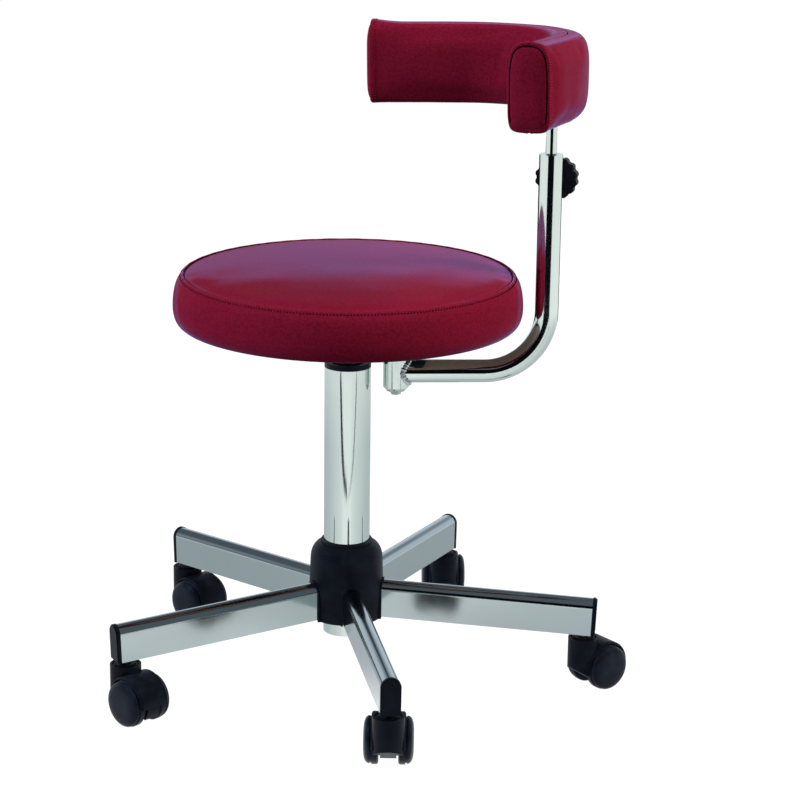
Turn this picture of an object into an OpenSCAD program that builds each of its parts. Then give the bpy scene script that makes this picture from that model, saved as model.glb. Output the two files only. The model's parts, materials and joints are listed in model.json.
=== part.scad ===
/* [Base] */
// Number of arms, each with a castor
arm_count = 5; // [3:1:6]
// Distance from the column axis to the open end of an arm tube
arm_reach = 269; // [230:1:330]
// Width of an arm tube, which is also the diameter of its round top
arm_w = 20; // [18:1:24]
// Height of an arm tube
arm_h = 40; // [34:1:46]
// Wall of an arm tube
arm_wall = 1.5; // [1:0.5:2.5]
// How much higher the underside of an arm lies at the column than at its end
arm_rise = 10; // [0:1:16]
// Turn of the first arm about the column, in degrees
base_turn = 9.5; // [0:0.5:71]
// Distance from the open end of an arm to its castor stem
stem_inset = 8; // [7:0.5:12]
// Thickness of the end plug's outer cap
cap_t = 4.5; // [3:0.5:8]
// How far the cap stands proud of the tube all round
cap_lip = 0.6; // [0:0.1:1.5]
// Length of the end plug inside the tube
plug_l = 30; // [24:1:45]
// Radius of the rounded edge of the cap's outer face
cap_edge = 1.2; // [0.4:0.2:2]

/* [Hub cover] */
// Largest radius of the hub cover
hub_r = 40.5; // [36:0.5:48]
// Height of the cover's skirt bottom above the floor
hub_bottom_z = 71; // [66:0.5:73]
// Height of the cover's shoulder above the floor
hub_shoulder_z = 137; // [130:1:144]
// Height of the cover's top lip above the floor
hub_top_z = 158.5; // [152:0.5:172]
// Height of the lip round the column
hub_lip = 3.5; // [2:0.5:6]
// Wall of the hub cover
hub_wall = 2.5; // [2:0.25:3.5]
// Width of the raised rim round each arm
rim_w = 2.4; // [1.5:0.1:3.5]
// How far the raised rim stands out of the cover
rim_out = 1.2; // [0.6:0.2:3]

/* [Column] */
// Outer diameter of the column tube
column_d = 50; // [46:1:56]
// Wall of the column tube
column_wall = 2; // [1.5:0.25:3]
// Height of the column tube's bottom edge above the floor
column_bottom_z = 53; // [48:0.5:56]
// Height of the column tube's top edge above the floor
column_top_z = 352.5; // [330:0.5:400]
// Height of the guide bush above the column tube
bush_h = 6; // [4:0.5:20]
// Length of the guide bush inside the tube
bush_l = 60; // [40:1:90]
// Thickness of the disc that closes the column's bottom
floor_t = 4; // [3:0.5:6]

/* [Lift] */
// Outer diameter of the gas cylinder
lift_d = 28; // [26:0.5:30]
// Wall of the gas cylinder
lift_wall = 2.5; // [2:0.25:3]
// Diameter of the piston rod
piston_d = 10; // [8:0.5:12]
// Travel of the seat from its lowest to its highest place
lift_stroke = 130; // [80:5:150]
// Height of the taper at the top of the gas cylinder
taper_h = 18; // [14:1:22]
// How much narrower the taper is at its top, in diameter
taper_drop = 1.6; // [0.8:0.2:3]

/* [Seat] */
// Gap between the guide bush and the seat plate's hub at the lowest place
seat_gap = 12.5; // [2:0.5:20]
// Largest radius of the seat cushion
seat_r = 185.5; // [170:0.5:210]
// How far the seam round the top lies inside the largest radius
seam_in = 14.5; // [6:0.5:20]
// Height of the seam above the underside of the cushion
seam_h = 52; // [45:0.5:75]
// Height of the fullest part of the side above the underside
bulge_h = 18.5; // [14:0.5:40]
// Height of the crown above the seam
crown_h = 8; // [5:0.5:24]
// How far inside the largest radius the side meets the underside
foot_in = 7.5; // [5:0.5:26]
// How far the plywood seat board lies inside the edge of the underside
board_in = 19.5; // [8:0.5:28]
// Thickness of the seat board
board_t = 12; // [9:0.5:18]
// Width of the seam's groove
seam_w = 2.4; // [1:0.2:4]
// Depth of the seam's groove
seam_depth = 1; // [0.4:0.1:2]

/* [Seat plate] */
// Length of the seat plate along the back arm
plate_l = 170; // [150:1:200]
// Width of the seat plate
plate_w = 130; // [110:1:160]
// Thickness of the seat plate
plate_t = 3; // [2:0.5:5]
// Diameter of the hub that holds the cylinder's taper
socket_d = 42; // [38:1:48]
// Height of the hub under the seat plate
socket_h = 28; // [26:0.5:36]
// Width of the release lever
lever_w = 12; // [8:1:14]
// Thickness of the release lever
lever_t = 3; // [2:0.5:4]
// Reach of the release lever from the column axis
lever_reach = 150; // [110:1:165]
// Direction of the release lever about the column, in degrees
lever_turn = 205; // [150:5:230]
// Length of the lever's flattened handle
handle_l = 40; // [25:1:60]

/* [Back arm] */
// Distance from the column axis to the pivot of the back arm
pivot_y = 51.5; // [44:0.5:70]
// Diameter of the upright pivot tube
pivot_d = 28; // [26:0.5:34]
// Height of the pivot tube
pivot_h = 46; // [36:1:50]
// Gap between the pivot tube and the seat plate above it
pivot_drop = 24.5; // [18:0.5:30]
// Diameter of the pivot post
post_d = 16; // [12:0.5:18]
// Diameter of the back tube
tube_d = 25; // [22:0.5:30]
// Wall of the back tube
tube_wall = 2; // [1.5:0.25:3]
// Height of the back tube's axis above the bottom of the pivot tube
tube_rise = 18.8; // [16:0.2:30]
// Gap between the seat cushion and the upright run of the back tube
seat_room = 13.5; // [12:0.5:50]
// Radius of the bend's centre line
bend_r = 65; // [55:1:100]
// Height of the back tube's top above the floor
back_top_z = 582; // [540:1:640]
// Turn of the back arm about its pivot as the stool stands, in degrees
arm_swing = 2; // [0:1:5]

/* [Back rod and clamp] */
// Diameter of the back rod
rod_d = 12; // [10:0.5:14]
// Length of the rod that shows between the tube and the back cushion
rod_show = 49; // [35:1:70]
// How far the rod can slide up
rod_up = 60; // [20:1:70]
// Length of rod left below the clamp screw when it is up
rod_hold = 20; // [12:1:30]
// Length of the guide sleeve in the top of the tube
collar_l = 56; // [50:1:70]
// Thickness of the guide sleeve's rim on the tube's end
collar_rim = 3; // [2:0.5:5]
// Distance from the top of the tube to the clamp screw
clamp_drop = 30; // [22:1:40]
// Direction of the clamp screw about the rod, in degrees
clamp_turn = 160; // [90:1:270]
// Diameter of the clamp screw's threaded boss
boss_d = 15; // [12:0.5:20]
// Length of the threaded boss outside the tube
boss_l = 6; // [4:0.5:12]
// Diameter of the clamp stud
stud_d = 8; // [6:0.5:10]
// Diameter of the knob over its lobes
knob_d = 46; // [34:1:54]
// Number of lobes of the knob
knob_lobes = 14; // [6:1:18]
// Thickness of the knob's lobed rim
knob_t = 14; // [10:0.5:20]

/* [Back cushion] */
// Thickness of the back cushion
pad_t = 44; // [40:0.5:56]
// Height of the back cushion
pad_h = 85; // [80:1:130]
// Radius of the bend of the back cushion's middle line
pad_r = 112; // [95:1:180]
// Half of the angle that the bend takes, in degrees
pad_angle = 53.5; // [45:0.5:70]
// Length of the straight run at each end
pad_leg = 98; // [50:1:120]
// How far the rod stands behind the middle line
rod_back = 8; // [6:0.5:9]
// Turn of the back cushion about its rod, in degrees
pad_turn = 30; // [-60:1:60]
// How far the back cushion leans sideways on its rod, in degrees
pad_roll = 2; // [-3:1:3]
// Thickness of the curved plywood board in the cushion
ply_t = 7; // [5:0.5:9]
// Height of the curved plywood board
ply_h = 60; // [50:1:64]
// Height of the board's lower edge above the cushion's underside
ply_inset = 11; // [10:0.5:14]
// Outer diameter of the rod socket
sleeve_d = 18; // [16:0.5:22]
// Height of the rod socket
sleeve_h = 52; // [40:1:60]
// Thickness of the steel plate that carries the board
band_t = 3; // [2:0.5:4]
// Height of the steel plate
band_h = 40; // [30:1:40]
// Length of the steel plate round the bend
band_l = 56; // [40:1:80]

/* [Castors] */
// Diameter of a wheel
wheel_d = 50; // [46:1:56]
// Width of one wheel
wheel_w = 17; // [14:0.5:20]
// Gap between the two wheels of a castor
wheel_gap = 17.6; // [16:0.2:22]
// Distance from the stem to the wheel axle
castor_trail = 21; // [19:0.5:26]
// Height of the hood's top above the floor
castor_h = 61; // [58:0.5:68]
// Gap between the hood and the arm
castor_gap = 3.5; // [2:0.5:8]
// Width of the hood over the wheels
hood_w = 35; // [30:0.5:40]
// Thickness of the hood over the wheels
hood_wall = 2.4; // [1.5:0.1:3.5]
// Diameter of the housing round the stem
housing_d = 33; // [28:0.5:36]
// Height of the hood's bottom above the floor
hood_clear = 10; // [6:0.5:14]
// Height above the floor of the hood's bottom at its nose, which slants up
nose_z = 27; // [18:0.5:32]
// Diameter of the stem
stem_d = 11; // [9:0.5:12]
// Length of the stem inside the arm
stem_up = 28; // [20:1:32]
// Diameter of the wheel axle
axle_d = 6; // [5:0.5:8]

/* [Fits] */
// Clearance all round a turning or sliding fit
fit = 0.05; // [0.03:0.01:0.1]
// End play of a turning piece
end_play = 0.2; // [0.1:0.05:0.4]
// Gap that keeps soft pieces clear of their neighbours
soft_gap = 0.35; // [0.3:0.05:0.6]
// Gap between a wheel and its hood
wheel_clear = 1.2; // [0.8:0.1:2]

/* [Hidden] */
$fn = 96;
// Overrun of every cut past the face that it leaves by
cut = 1;

// Directions in which the castors trail, as seen in the photograph
castor_heading = [178, 126, 180, 44, 44];

// Base, worked out
arm_pitch = 360 / arm_count;
arm_end_z = castor_h + castor_gap;
arm_slope = atan(arm_rise / arm_reach);
stem_r = arm_reach - stem_inset;
column_r = column_d / 2;
column_in_r = column_r - column_wall;

// Column floor, bearing and buffer stand on one another
washer_t = 3;
washer_r = column_in_r - 3 * fit;
cage_t = 5;
ball_sink = 0.5;
ball_d = cage_t + 2 * ball_sink;
ball_count = 12;
buffer_t = 7;
floor_z = column_bottom_z + 1.5 * column_wall;
bearing_z = floor_z + floor_t;
washer_2_z = bearing_z + washer_t + cage_t;
buffer_z = washer_2_z + washer_t;
clip_t = 1.6;
clip_d = 1.8 * piston_d;
rod_tail = 2 * clip_t + fit;
piston_bottom_z = floor_z - rod_tail;

// Lift
bush_top_z = column_top_z + bush_h;
socket_z = bush_top_z + seat_gap;
plate_z = socket_z + socket_h;
seat_z = plate_z + plate_t;
lift_r = lift_d / 2;
lift_bottom_z = buffer_z + buffer_t + end_play;
lift_top_z = socket_z + taper_h;
gland_h = 14;
lift_roof = 6;
piston_head_h = 10;
piston_top_z = lift_bottom_z + gland_h + lift_stroke + piston_head_h + end_play;
pin_d = 7;
pin_travel = 1.5;
pin_head_up = 2 * pin_travel;
pin_head_t = 2;
pin_tip_d = 0.25 * pin_d;
lever_z = lift_top_z + pin_head_up + pin_head_t + end_play / 2;

// Release lever: pulling its handle up presses the pin down
lever_pin_edge = 4;
lever_pin_r = socket_d / 2 - lever_pin_edge;
lever_pin_d = 3;
lever_pin_z = lever_z + lever_t / 2;
lever_tail = 6;
lever_pull = asin(pin_travel / lever_pin_r);
lever_dip = 1.2 * lever_pull;
lever_slot_room = 2.6;

// Seat cushion profile
seam_r = seat_r - seam_in;
seat_foot_r = seat_r - foot_in;
board_r = seat_foot_r - board_in;
crown_steps = 10;
side_steps = 9;
crown_power_share = 4;
screw_d = 5;
screw_head_d = 10;
screw_head_h = 2.6;
screw_edge = 14;

// Back arm
back_reach = seat_r + seat_room + tube_d / 2 - pivot_y;
pivot_top_z = plate_z - pivot_drop;
pivot_bottom_z = pivot_top_z - pivot_h;
pivot_chamfer = 2;
bush_wall = 2;
bush_flange_t = 1;
bush_flange_d = pivot_d - 3 * pivot_chamfer;
bush_d = post_d + 2 * bush_wall;
pivot_bush_l = pivot_h / 3;
tube_z = pivot_bottom_z + tube_rise;
tube_end_z = back_top_z - collar_rim;
tube_in_d = tube_d - 2 * tube_wall;
bolt_d = 6;
bolt_l = 24;
bolt_head_w = 10;
bolt_head_h = 4;
washer_d = pivot_d - 4 * pivot_chamfer;
washer_flat_t = 1.2;
post_bottom_z = pivot_bottom_z - bush_flange_t - end_play;

// Clamp
clamp_z = back_top_z - clamp_drop;
knob_gap = 0.6;
knob_inner = tube_d / 2 + boss_l + knob_gap;
knob_neck = 4;
knob_neck_d = 1.3 * boss_d;
stud_tip = rod_d / 2 + 2 * fit;
knob_sink = 3;
stud_end = knob_inner + knob_neck + knob_t - knob_sink;
lobe_r_share = 0.8;
lobe_depth_share = 0.4;
lobe_edge = 2;

// Back cushion
pad_bottom_z = back_top_z + rod_show;
pad_mid_z = pad_bottom_z + pad_h / 2;
sleeve_lift = 2;
sleeve_z = pad_bottom_z + sleeve_lift;
ply_z = pad_bottom_z + ply_inset;
band_z = sleeve_z + sleeve_h - band_h - band_t;
rod_top_z = sleeve_z + sleeve_h - band_t - end_play;
rod_bottom_z = clamp_z - rod_up - rod_hold;
bend_y = pad_r + rod_back;
band_sink_share = 0.4;
saddle_w = sleeve_d * 0.82;
band_r = bend_y - sleeve_d / 2 - band_t * (1 - band_sink_share);
ply_r = band_r - ply_t;
pad_rings = 44;
pad_points = 28;
pad_power_share = 0.42;
pad_end_round = 9;
pad_end_bulge = 3;
pad_end_share = [0, 0.08, 0.3, 0.65, 1];
pad_arc_l = pad_r * pad_angle * PI / 180;
pad_half_l = pad_arc_l + pad_leg;
band_screw_d = 4;
screw_place_share = 0.36;
band_screw_head_d = 7.5;
band_screw_head_h = 2;
screw_tip_r = band_r - ply_t * 0.7;

// Castors
wheel_r = wheel_d / 2;
web_w = wheel_gap - wheel_clear;
well_r = wheel_r + wheel_clear;
hood_r = well_r + hood_wall;
hood_edge = 1.6;
nose_share = 0.75;
ring_h = 1.5;
ring_d = 2 * stem_d;
ring_groove = 1.2;
hub_recess = 1.4;
wheel_boss_r = 1.5 * axle_d;
axle_end_cover = 4;
tread_w = 0.52 * wheel_w;
wheel_steps = 8;
groove_w = 0.9;
groove_depth = 1.4;
stem_sink = 20;
stem_groove = 0.6;
stem_groove_d = stem_d - 2 * stem_groove;
stem_groove_h = 3;

BASE_NODES = ["column_tube", "column_floor", "thrust_bearing", "guide_bush", "hub_cover", "end_plugs"];
LIFT_NODES = ["piston_rod", "buffer_ring", "gas_cylinder", "release_pin", "release_lever", "lever_pin"];
SEAT_NODES = ["seat_plate", "seat_board", "seat_screws", "seat_cushion", "pivot_bolt"];
ARM_NODES = ["pivot_tube", "pivot_bushes", "back_tube", "guide_sleeve", "clamp_boss"];
CLAMP_NODES = ["clamp_stud", "clamp_knob", "back_rod"];
BACK_NODES = ["back_plate", "back_board", "back_screws", "back_cushion"];
CASTOR_PIECES = ["hood", "stem", "axle", "wheel_left", "wheel_right"];

// Places the children at the open end of one arm, with X pointing out along the arm
module at_arm_end(i) {
    rotate([0, 0, base_turn + i * arm_pitch])
        translate([arm_reach, 0, arm_end_z])
            rotate([0, arm_slope, 0])
                children();
}

// Section of an arm: flat below and round above, drawn smaller by an inset
module arm_section(inset) {
    translate([-arm_w / 2 + inset, inset])
        square([arm_w - 2 * inset, arm_h - arm_w / 2 - inset]);
    translate([0, arm_h - arm_w / 2])
        circle(r = arm_w / 2 - inset);
}

// Bar with the section of an arm, from one distance out to another
module arm_bar(inset, from, to) {
    translate([from, 0, 0])
        rotate([90, 0, 90])
            linear_extrude(height = to - from)
                arm_section(inset);
}

module arm(i) {
    color("gainsboro")
        difference() {
            at_arm_end(i)
                difference() {
                    arm_bar(0, -arm_reach, 0);
                    arm_bar(arm_wall, -arm_reach - cut, cut);
                    translate([-stem_inset, 0, -cut])
                        cylinder(d = stem_d + 4 * wheel_clear, h = arm_wall + 2 * cut);
                }
            cylinder(r = column_r, h = 2 * (arm_end_z + arm_h));
        }
}

// End plug: a cap over the tube's mouth and a block inside with the stem's socket
module end_plug(i) {
    difference() {
        at_arm_end(i) {
            arm_bar(-cap_lip, 0, cap_t - cap_edge);
            arm_bar(cap_edge - cap_lip, cap_t - cap_edge, cap_t);
            arm_bar(arm_wall + 2 * fit, -plug_l, 0);
        }
        rotate([0, 0, base_turn + i * arm_pitch])
            translate([stem_r, 0, arm_end_z - cut])
                cylinder(r = stem_d / 2 + fit, h = stem_up + end_play + cut);
    }
}

module end_plugs() {
    color("dimgray")
        for (i = [0 : arm_count - 1])
            end_plug(i);
}

module column_tube() {
    color("gainsboro")
        translate([0, 0, column_bottom_z])
            difference() {
                cylinder(r = column_r, h = column_top_z - column_bottom_z);
                translate([0, 0, -cut])
                    cylinder(r = column_in_r, h = column_top_z - column_bottom_z + 2 * cut);
            }
}

module column_floor() {
    color("gray")
        translate([0, 0, floor_z])
            difference() {
                cylinder(r = column_in_r, h = floor_t);
                translate([0, 0, -cut])
                    cylinder(r = piston_d / 2 + fit, h = floor_t + 2 * cut);
            }
}

// Thrust bearing: two washers with a ring of balls between them
module thrust_bearing() {
    color("silver") {
        for (z = [bearing_z, washer_2_z])
            translate([0, 0, z])
                difference() {
                    cylinder(r = washer_r, h = washer_t);
                    translate([0, 0, -cut])
                        cylinder(r = piston_d / 2 + fit, h = washer_t + 2 * cut);
                }
        for (i = [0 : ball_count - 1])
            rotate([0, 0, i * 360 / ball_count])
                translate([(washer_r + piston_d / 2) / 2, 0, bearing_z + washer_t + ball_d / 2])
                    sphere(d = ball_d);
    }
}

// Guide bush: a plastic sleeve in the tube with a ringed head on top of it
module guide_bush() {
    ring = (column_r - lift_r) / 4;
    color("dimgray")
        difference() {
            union() {
                translate([0, 0, column_top_z])
                    cylinder(r = column_r, h = bush_h);
                translate([0, 0, column_top_z - bush_l])
                    cylinder(r = column_in_r, h = bush_l);
            }
            translate([0, 0, column_top_z - bush_l - cut])
                cylinder(r = lift_r + fit, h = bush_l + bush_h + 2 * cut);
            translate([0, 0, bush_top_z - ring])
                difference() {
                    cylinder(r = column_r - ring, h = ring + cut);
                    cylinder(r = lift_r + ring, h = ring + cut);
                }
        }
}

// Hub cover outline, from its skirt up over the shoulder to the lip
function hub_outline(inset) =
    let (neck_r = column_r + hub_wall, side = hub_r - inset)
    concat(
        [[side - rim_w / 2, hub_bottom_z], [side, (hub_bottom_z + hub_shoulder_z) / 2]],
        [for (k = [0 : side_steps])
            let (a = 90 * k / side_steps)
            [
                neck_r - inset + (side - rim_w / 2 - neck_r + inset) * cos(a),
                hub_shoulder_z - inset + (hub_top_z - hub_lip - hub_shoulder_z) * sin(a)
            ]
        ]
    );

module hub_cover() {
    lip_z = hub_top_z - hub_lip;
    color("dimgray")
        difference() {
            union() {
                rotate_extrude()
                    polygon(concat([[0, hub_bottom_z]], hub_outline(0), [[0, lip_z]]));
                translate([0, 0, hub_shoulder_z])
                    cylinder(r = column_r + hub_wall, h = hub_top_z - hub_shoulder_z);
                intersection() {
                    for (i = [0 : arm_count - 1])
                        at_arm_end(i)
                            arm_bar(-rim_w, -arm_reach, -arm_reach + hub_r + rim_out);
                    translate([0, 0, hub_bottom_z])
                        cylinder(r = hub_r + rim_out, h = hub_top_z - hub_bottom_z);
                }
            }
            rotate_extrude()
                polygon(concat(
                    [[0, hub_bottom_z - cut], [hub_r - hub_wall - rim_w / 2, hub_bottom_z - cut]],
                    hub_outline(hub_wall),
                    [[0, lip_z - hub_wall]]
                ));
            cylinder(r = column_r + 2 * fit, h = hub_top_z + cut);
            for (i = [0 : arm_count - 1])
                at_arm_end(i) {
                    arm_bar(-4 * fit, -arm_reach, 0);
                    translate([-arm_reach, -arm_w / 2 - 4 * fit, -arm_h])
                        cube([arm_reach, arm_w + 8 * fit, arm_h + arm_w / 2]);
                }
        }
}

// Piston rod: clipped under the column floor, with its piston inside the cylinder
module piston_rod() {
    color("silver") {
        difference() {
            translate([0, 0, piston_bottom_z])
                cylinder(d = piston_d, h = piston_top_z - piston_bottom_z);
            translate([0, 0, floor_z - clip_t - fit])
                difference() {
                    cylinder(d = 2 * piston_d, h = clip_t);
                    cylinder(d = piston_d - clip_t, h = clip_t);
                }
        }
        translate([0, 0, piston_top_z - piston_head_h])
            cylinder(r = lift_r - lift_wall - fit, h = piston_head_h);
        translate([0, 0, floor_z - clip_t - fit])
            difference() {
                cylinder(d = clip_d, h = clip_t);
                cylinder(d = piston_d - clip_t, h = clip_t);
            }
    }
}

module buffer_ring() {
    color("black")
        translate([0, 0, buffer_z])
            difference() {
                cylinder(r = lift_r, h = buffer_t);
                translate([0, 0, -cut])
                    cylinder(r = piston_d / 2 + fit, h = buffer_t + 2 * cut);
            }
}

// Gas cylinder: it slides up round the piston rod and wedges in the seat plate
module gas_cylinder() {
    body_h = lift_top_z - taper_h - lift_bottom_z;
    bore_r = lift_r - lift_wall;
    bore_h = lift_top_z - lift_roof - lift_bottom_z - gland_h;
    color("gainsboro")
        difference() {
            union() {
                translate([0, 0, lift_bottom_z])
                    cylinder(r = lift_r, h = body_h);
                translate([0, 0, lift_bottom_z + body_h])
                    cylinder(r1 = lift_r, r2 = lift_r - taper_drop / 2, h = taper_h);
            }
            translate([0, 0, lift_bottom_z - cut])
                cylinder(r = piston_d / 2 + fit, h = gland_h + 2 * cut);
            translate([0, 0, lift_bottom_z + gland_h])
                cylinder(r = bore_r, h = bore_h);
            translate([0, 0, lift_top_z - lift_roof - cut])
                cylinder(r = pin_d / 2 + fit, h = lift_roof + 2 * cut);
        }
}

module release_pin() {
    color("silver")
        translate([0, 0, lift_top_z - lift_roof]) {
            cylinder(d = pin_d, h = lift_roof + pin_head_up);
            translate([0, 0, lift_roof + pin_head_up])
                cylinder(d1 = 1.3 * pin_d, d2 = pin_tip_d, h = pin_head_t);
        }
}

// Places the children at the lever's pin, with X pointing out along the lever
module at_lever() {
    rotate([0, 0, lever_turn])
        translate([lever_pin_r, 0, lever_pin_z])
            children();
}

// Release lever: a tail over the release pin, a bar that dips outwards and a grip
module release_lever() {
    bar_l = lever_reach - lever_pin_r;
    grip_w = lever_w + lever_t;
    color("gray")
        at_lever()
            difference() {
                union() {
                    translate([-lever_pin_r - lever_tail, -lever_w / 2, -lever_t / 2])
                        cube([lever_pin_r + lever_tail, lever_w, lever_t]);
                    rotate([90, 0, 0])
                        translate([0, 0, -lever_w / 2])
                            cylinder(d = lever_t + lever_pin_d / 2, h = lever_w);
                    rotate([0, lever_dip, 0]) {
                        translate([0, -lever_w / 2, -lever_t / 2])
                            cube([bar_l - handle_l / 2, lever_w, lever_t]);
                        translate([bar_l - handle_l, -grip_w / 2, -lever_t])
                            cube([handle_l - grip_w / 2, grip_w, 2 * lever_t]);
                        translate([bar_l - grip_w / 2, 0, -lever_t])
                            cylinder(d = grip_w, h = 2 * lever_t);
                    }
                }
                translate([0, lever_w, 0])
                    rotate([90, 0, 0])
                        cylinder(r = lever_pin_d / 2 + fit, h = 2 * lever_w);
            }
}

module lever_pin() {
    length = lever_w + 4 * lever_pin_d;
    color("silver")
        at_lever()
            translate([0, length / 2, 0])
                rotate([90, 0, 0])
                    cylinder(d = lever_pin_d, h = length);
}

// Corners of the seat plate's screw pattern
function plate_corners() = [
    for (x = [-1, 1]) for (y = [-1, 1])
        [x * (plate_w / 2 - screw_edge), y * (plate_l / 2 - screw_edge)]
];

// Seat plate: a flat steel plate with the taper socket and the pivot post welded under it
module seat_plate() {
    color("dimgray")
        difference() {
            union() {
                translate([-plate_w / 2, -plate_l / 2, plate_z])
                    cube([plate_w, plate_l, plate_t]);
                translate([0, 0, socket_z])
                    cylinder(d = socket_d, h = socket_h);
                translate([0, pivot_y, post_bottom_z])
                    cylinder(d = post_d, h = plate_z - post_bottom_z);
                translate([0, pivot_y, pivot_top_z + bush_flange_t + end_play])
                    cylinder(d = pivot_d, h = plate_z - pivot_top_z - bush_flange_t - end_play);
            }
            translate([0, 0, socket_z])
                cylinder(r1 = lift_r, r2 = lift_r - taper_drop / 2, h = taper_h);
            translate([0, 0, socket_z - cut])
                cylinder(r = lift_r - taper_drop / 2, h = socket_h + plate_t + 2 * cut);
            rotate([0, 0, lever_turn])
                translate([0, -lever_w / 2 - lever_slot_room / 2, lever_z - lever_slot_room])
                    cube([socket_d, lever_w + lever_slot_room, plate_z - lever_z + lever_slot_room]);
            at_lever()
                translate([0, socket_d / 2, 0])
                    rotate([90, 0, 0])
                        cylinder(d = lever_pin_d, h = socket_d);
            translate([0, pivot_y, post_bottom_z - cut])
                cylinder(d = bolt_d, h = bolt_l + cut);
            for (p = plate_corners())
                translate([p[0], p[1], plate_z - cut])
                    cylinder(d = screw_d, h = plate_t + 2 * cut);
        }
}

module seat_board() {
    color("burlywood")
        difference() {
            translate([0, 0, seat_z])
                cylinder(r = board_r, h = board_t);
            for (p = plate_corners())
                translate([p[0], p[1], seat_z - cut])
                    cylinder(d = screw_d, h = board_t * 0.75 + cut);
        }
}

module seat_screws() {
    color("silver")
        for (p = plate_corners())
            translate([p[0], p[1], plate_z]) {
                cylinder(d = screw_d, h = plate_t + board_t * 0.75);
                translate([0, 0, -screw_head_h])
                    cylinder(d1 = 0.7 * screw_head_d, d2 = screw_head_d, h = screw_head_h);
            }
}

// Outline of the seat cushion: crown, seam groove, full side and drawn-in foot
function seat_outline() =
    let (seam_z = seat_z + seam_h, bulge_z = seat_z + bulge_h)
    concat(
        [for (k = [0 : crown_steps - 1])
            let (t = k / crown_steps)
            [(seam_r - seam_w / 2) * t, seam_z + crown_h * (1 - pow(t, crown_power_share))]
        ],
        [
            [seam_r - seam_w / 2, seam_z + seam_depth],
            [seam_r - seam_depth, seam_z],
            [seam_r + seam_depth / 2, seam_z - seam_w / 2]
        ],
        [for (k = [1 : side_steps])
            let (a = 90 * k / side_steps)
            [
                seam_r + (seat_r - seam_r) * sin(a),
                bulge_z + (seam_z - seam_w / 2 - bulge_z) * cos(a)
            ]
        ],
        [for (k = [1 : side_steps])
            let (a = 90 * k / side_steps)
            [
                seat_foot_r + (seat_r - seat_foot_r) * cos(a),
                bulge_z - bulge_h * sin(a)
            ]
        ]
    );

module seat_cushion() {
    color("firebrick")
        difference() {
            rotate_extrude()
                polygon(concat(seat_outline(), [[0, seat_z]]));
            translate([0, 0, seat_z - cut])
                cylinder(r = board_r + soft_gap, h = board_t + soft_gap + cut);
        }
}

module pivot_bolt() {
    head_z = post_bottom_z - washer_flat_t;
    color("silver")
        translate([0, pivot_y, 0]) {
            translate([0, 0, head_z])
                cylinder(d = bolt_d, h = washer_flat_t + bolt_l - fit);
            translate([0, 0, head_z - bolt_head_h])
                rotate([0, 0, 15])
                    cylinder(d = bolt_head_w / cos(30), h = bolt_head_h, $fn = 6);
            translate([0, 0, head_z])
                difference() {
                    cylinder(d = washer_d, h = washer_flat_t);
                    cylinder(d = bolt_d, h = washer_flat_t);
                }
        }
}

// Turns the back arm's pieces about the pivot, as the stool stands
module swung() {
    translate([0, pivot_y, 0])
        rotate([0, 0, arm_swing])
            children();
}

module pivot_tube() {
    bore_d = bush_d;
    color("gainsboro")
        swung()
            difference() {
                union() {
                    translate([0, 0, pivot_bottom_z + pivot_chamfer])
                        cylinder(d = pivot_d, h = pivot_h - pivot_chamfer);
                    translate([0, 0, pivot_bottom_z])
                        cylinder(d1 = pivot_d - 2 * pivot_chamfer, d2 = pivot_d, h = pivot_chamfer);
                }
                translate([0, 0, pivot_bottom_z - cut])
                    cylinder(d = bore_d, h = pivot_h + 2 * cut);
            }
}

// Pivot bushes: one flanged plastic bush in each end of the pivot tube
module pivot_bushes() {
    color("ivory")
        swung()
            for (end = [0, 1])
                translate([0, 0, end == 0 ? pivot_bottom_z : pivot_top_z])
                    mirror([0, 0, end])
                        difference() {
                            union() {
                                cylinder(d = bush_d, h = pivot_bush_l);
                                translate([0, 0, -bush_flange_t])
                                    cylinder(d = bush_flange_d, h = bush_flange_t);
                            }
                            translate([0, 0, -bush_flange_t - cut])
                                cylinder(r = post_d / 2 + fit, h = pivot_bush_l + bush_flange_t + 2 * cut);
                        }
}

// Run of the back tube: out from the pivot, round the bend and up
module tube_run(d, over) {
    rotate([-90, 0, 0])
        cylinder(d = d, h = back_reach - bend_r);
    translate([0, back_reach - bend_r, bend_r])
        rotate([0, 90, 0])
            rotate_extrude(angle = 90)
                translate([bend_r, 0])
                    circle(d = d);
    translate([0, back_reach, bend_r])
        cylinder(d = d, h = tube_end_z - tube_z - bend_r + over);
}

module back_tube() {
    color("gainsboro")
        swung()
            difference() {
                translate([0, 0, tube_z])
                    difference() {
                        tube_run(tube_d, 0);
                        tube_run(tube_in_d, cut);
                    }
                translate([0, 0, pivot_bottom_z - cut])
                    cylinder(d = pivot_d, h = pivot_h + 2 * cut);
                at_clamp()
                    cylinder(d = stud_d + 4 * fit, h = tube_d);
            }
}

// Places the children on the rod's axis at the clamp, with Z pointing out along the stud
module at_clamp() {
    translate([0, back_reach, clamp_z])
        rotate([0, 0, clamp_turn])
            rotate([0, 90, 0])
                children();
}

module guide_sleeve() {
    color("silver")
        swung()
            difference() {
                translate([0, back_reach, tube_end_z]) {
                    cylinder(d = tube_d, h = collar_rim);
                    translate([0, 0, -collar_l])
                        cylinder(d = tube_in_d, h = collar_l);
                }
                translate([0, back_reach, tube_end_z - collar_l - cut])
                    cylinder(r = rod_d / 2 + fit, h = collar_l + collar_rim + 2 * cut);
                at_clamp()
                    cylinder(d = stud_d + 4 * fit, h = tube_d);
            }
}

module clamp_boss() {
    color("silver")
        swung()
            difference() {
                at_clamp()
                    cylinder(d = boss_d, h = tube_d / 2 + boss_l);
                translate([0, back_reach, clamp_z - boss_d])
                    cylinder(d = tube_d, h = 2 * boss_d);
                at_clamp()
                    cylinder(r = stud_d / 2 + fit, h = tube_d / 2 + boss_l + cut);
            }
}

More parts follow.
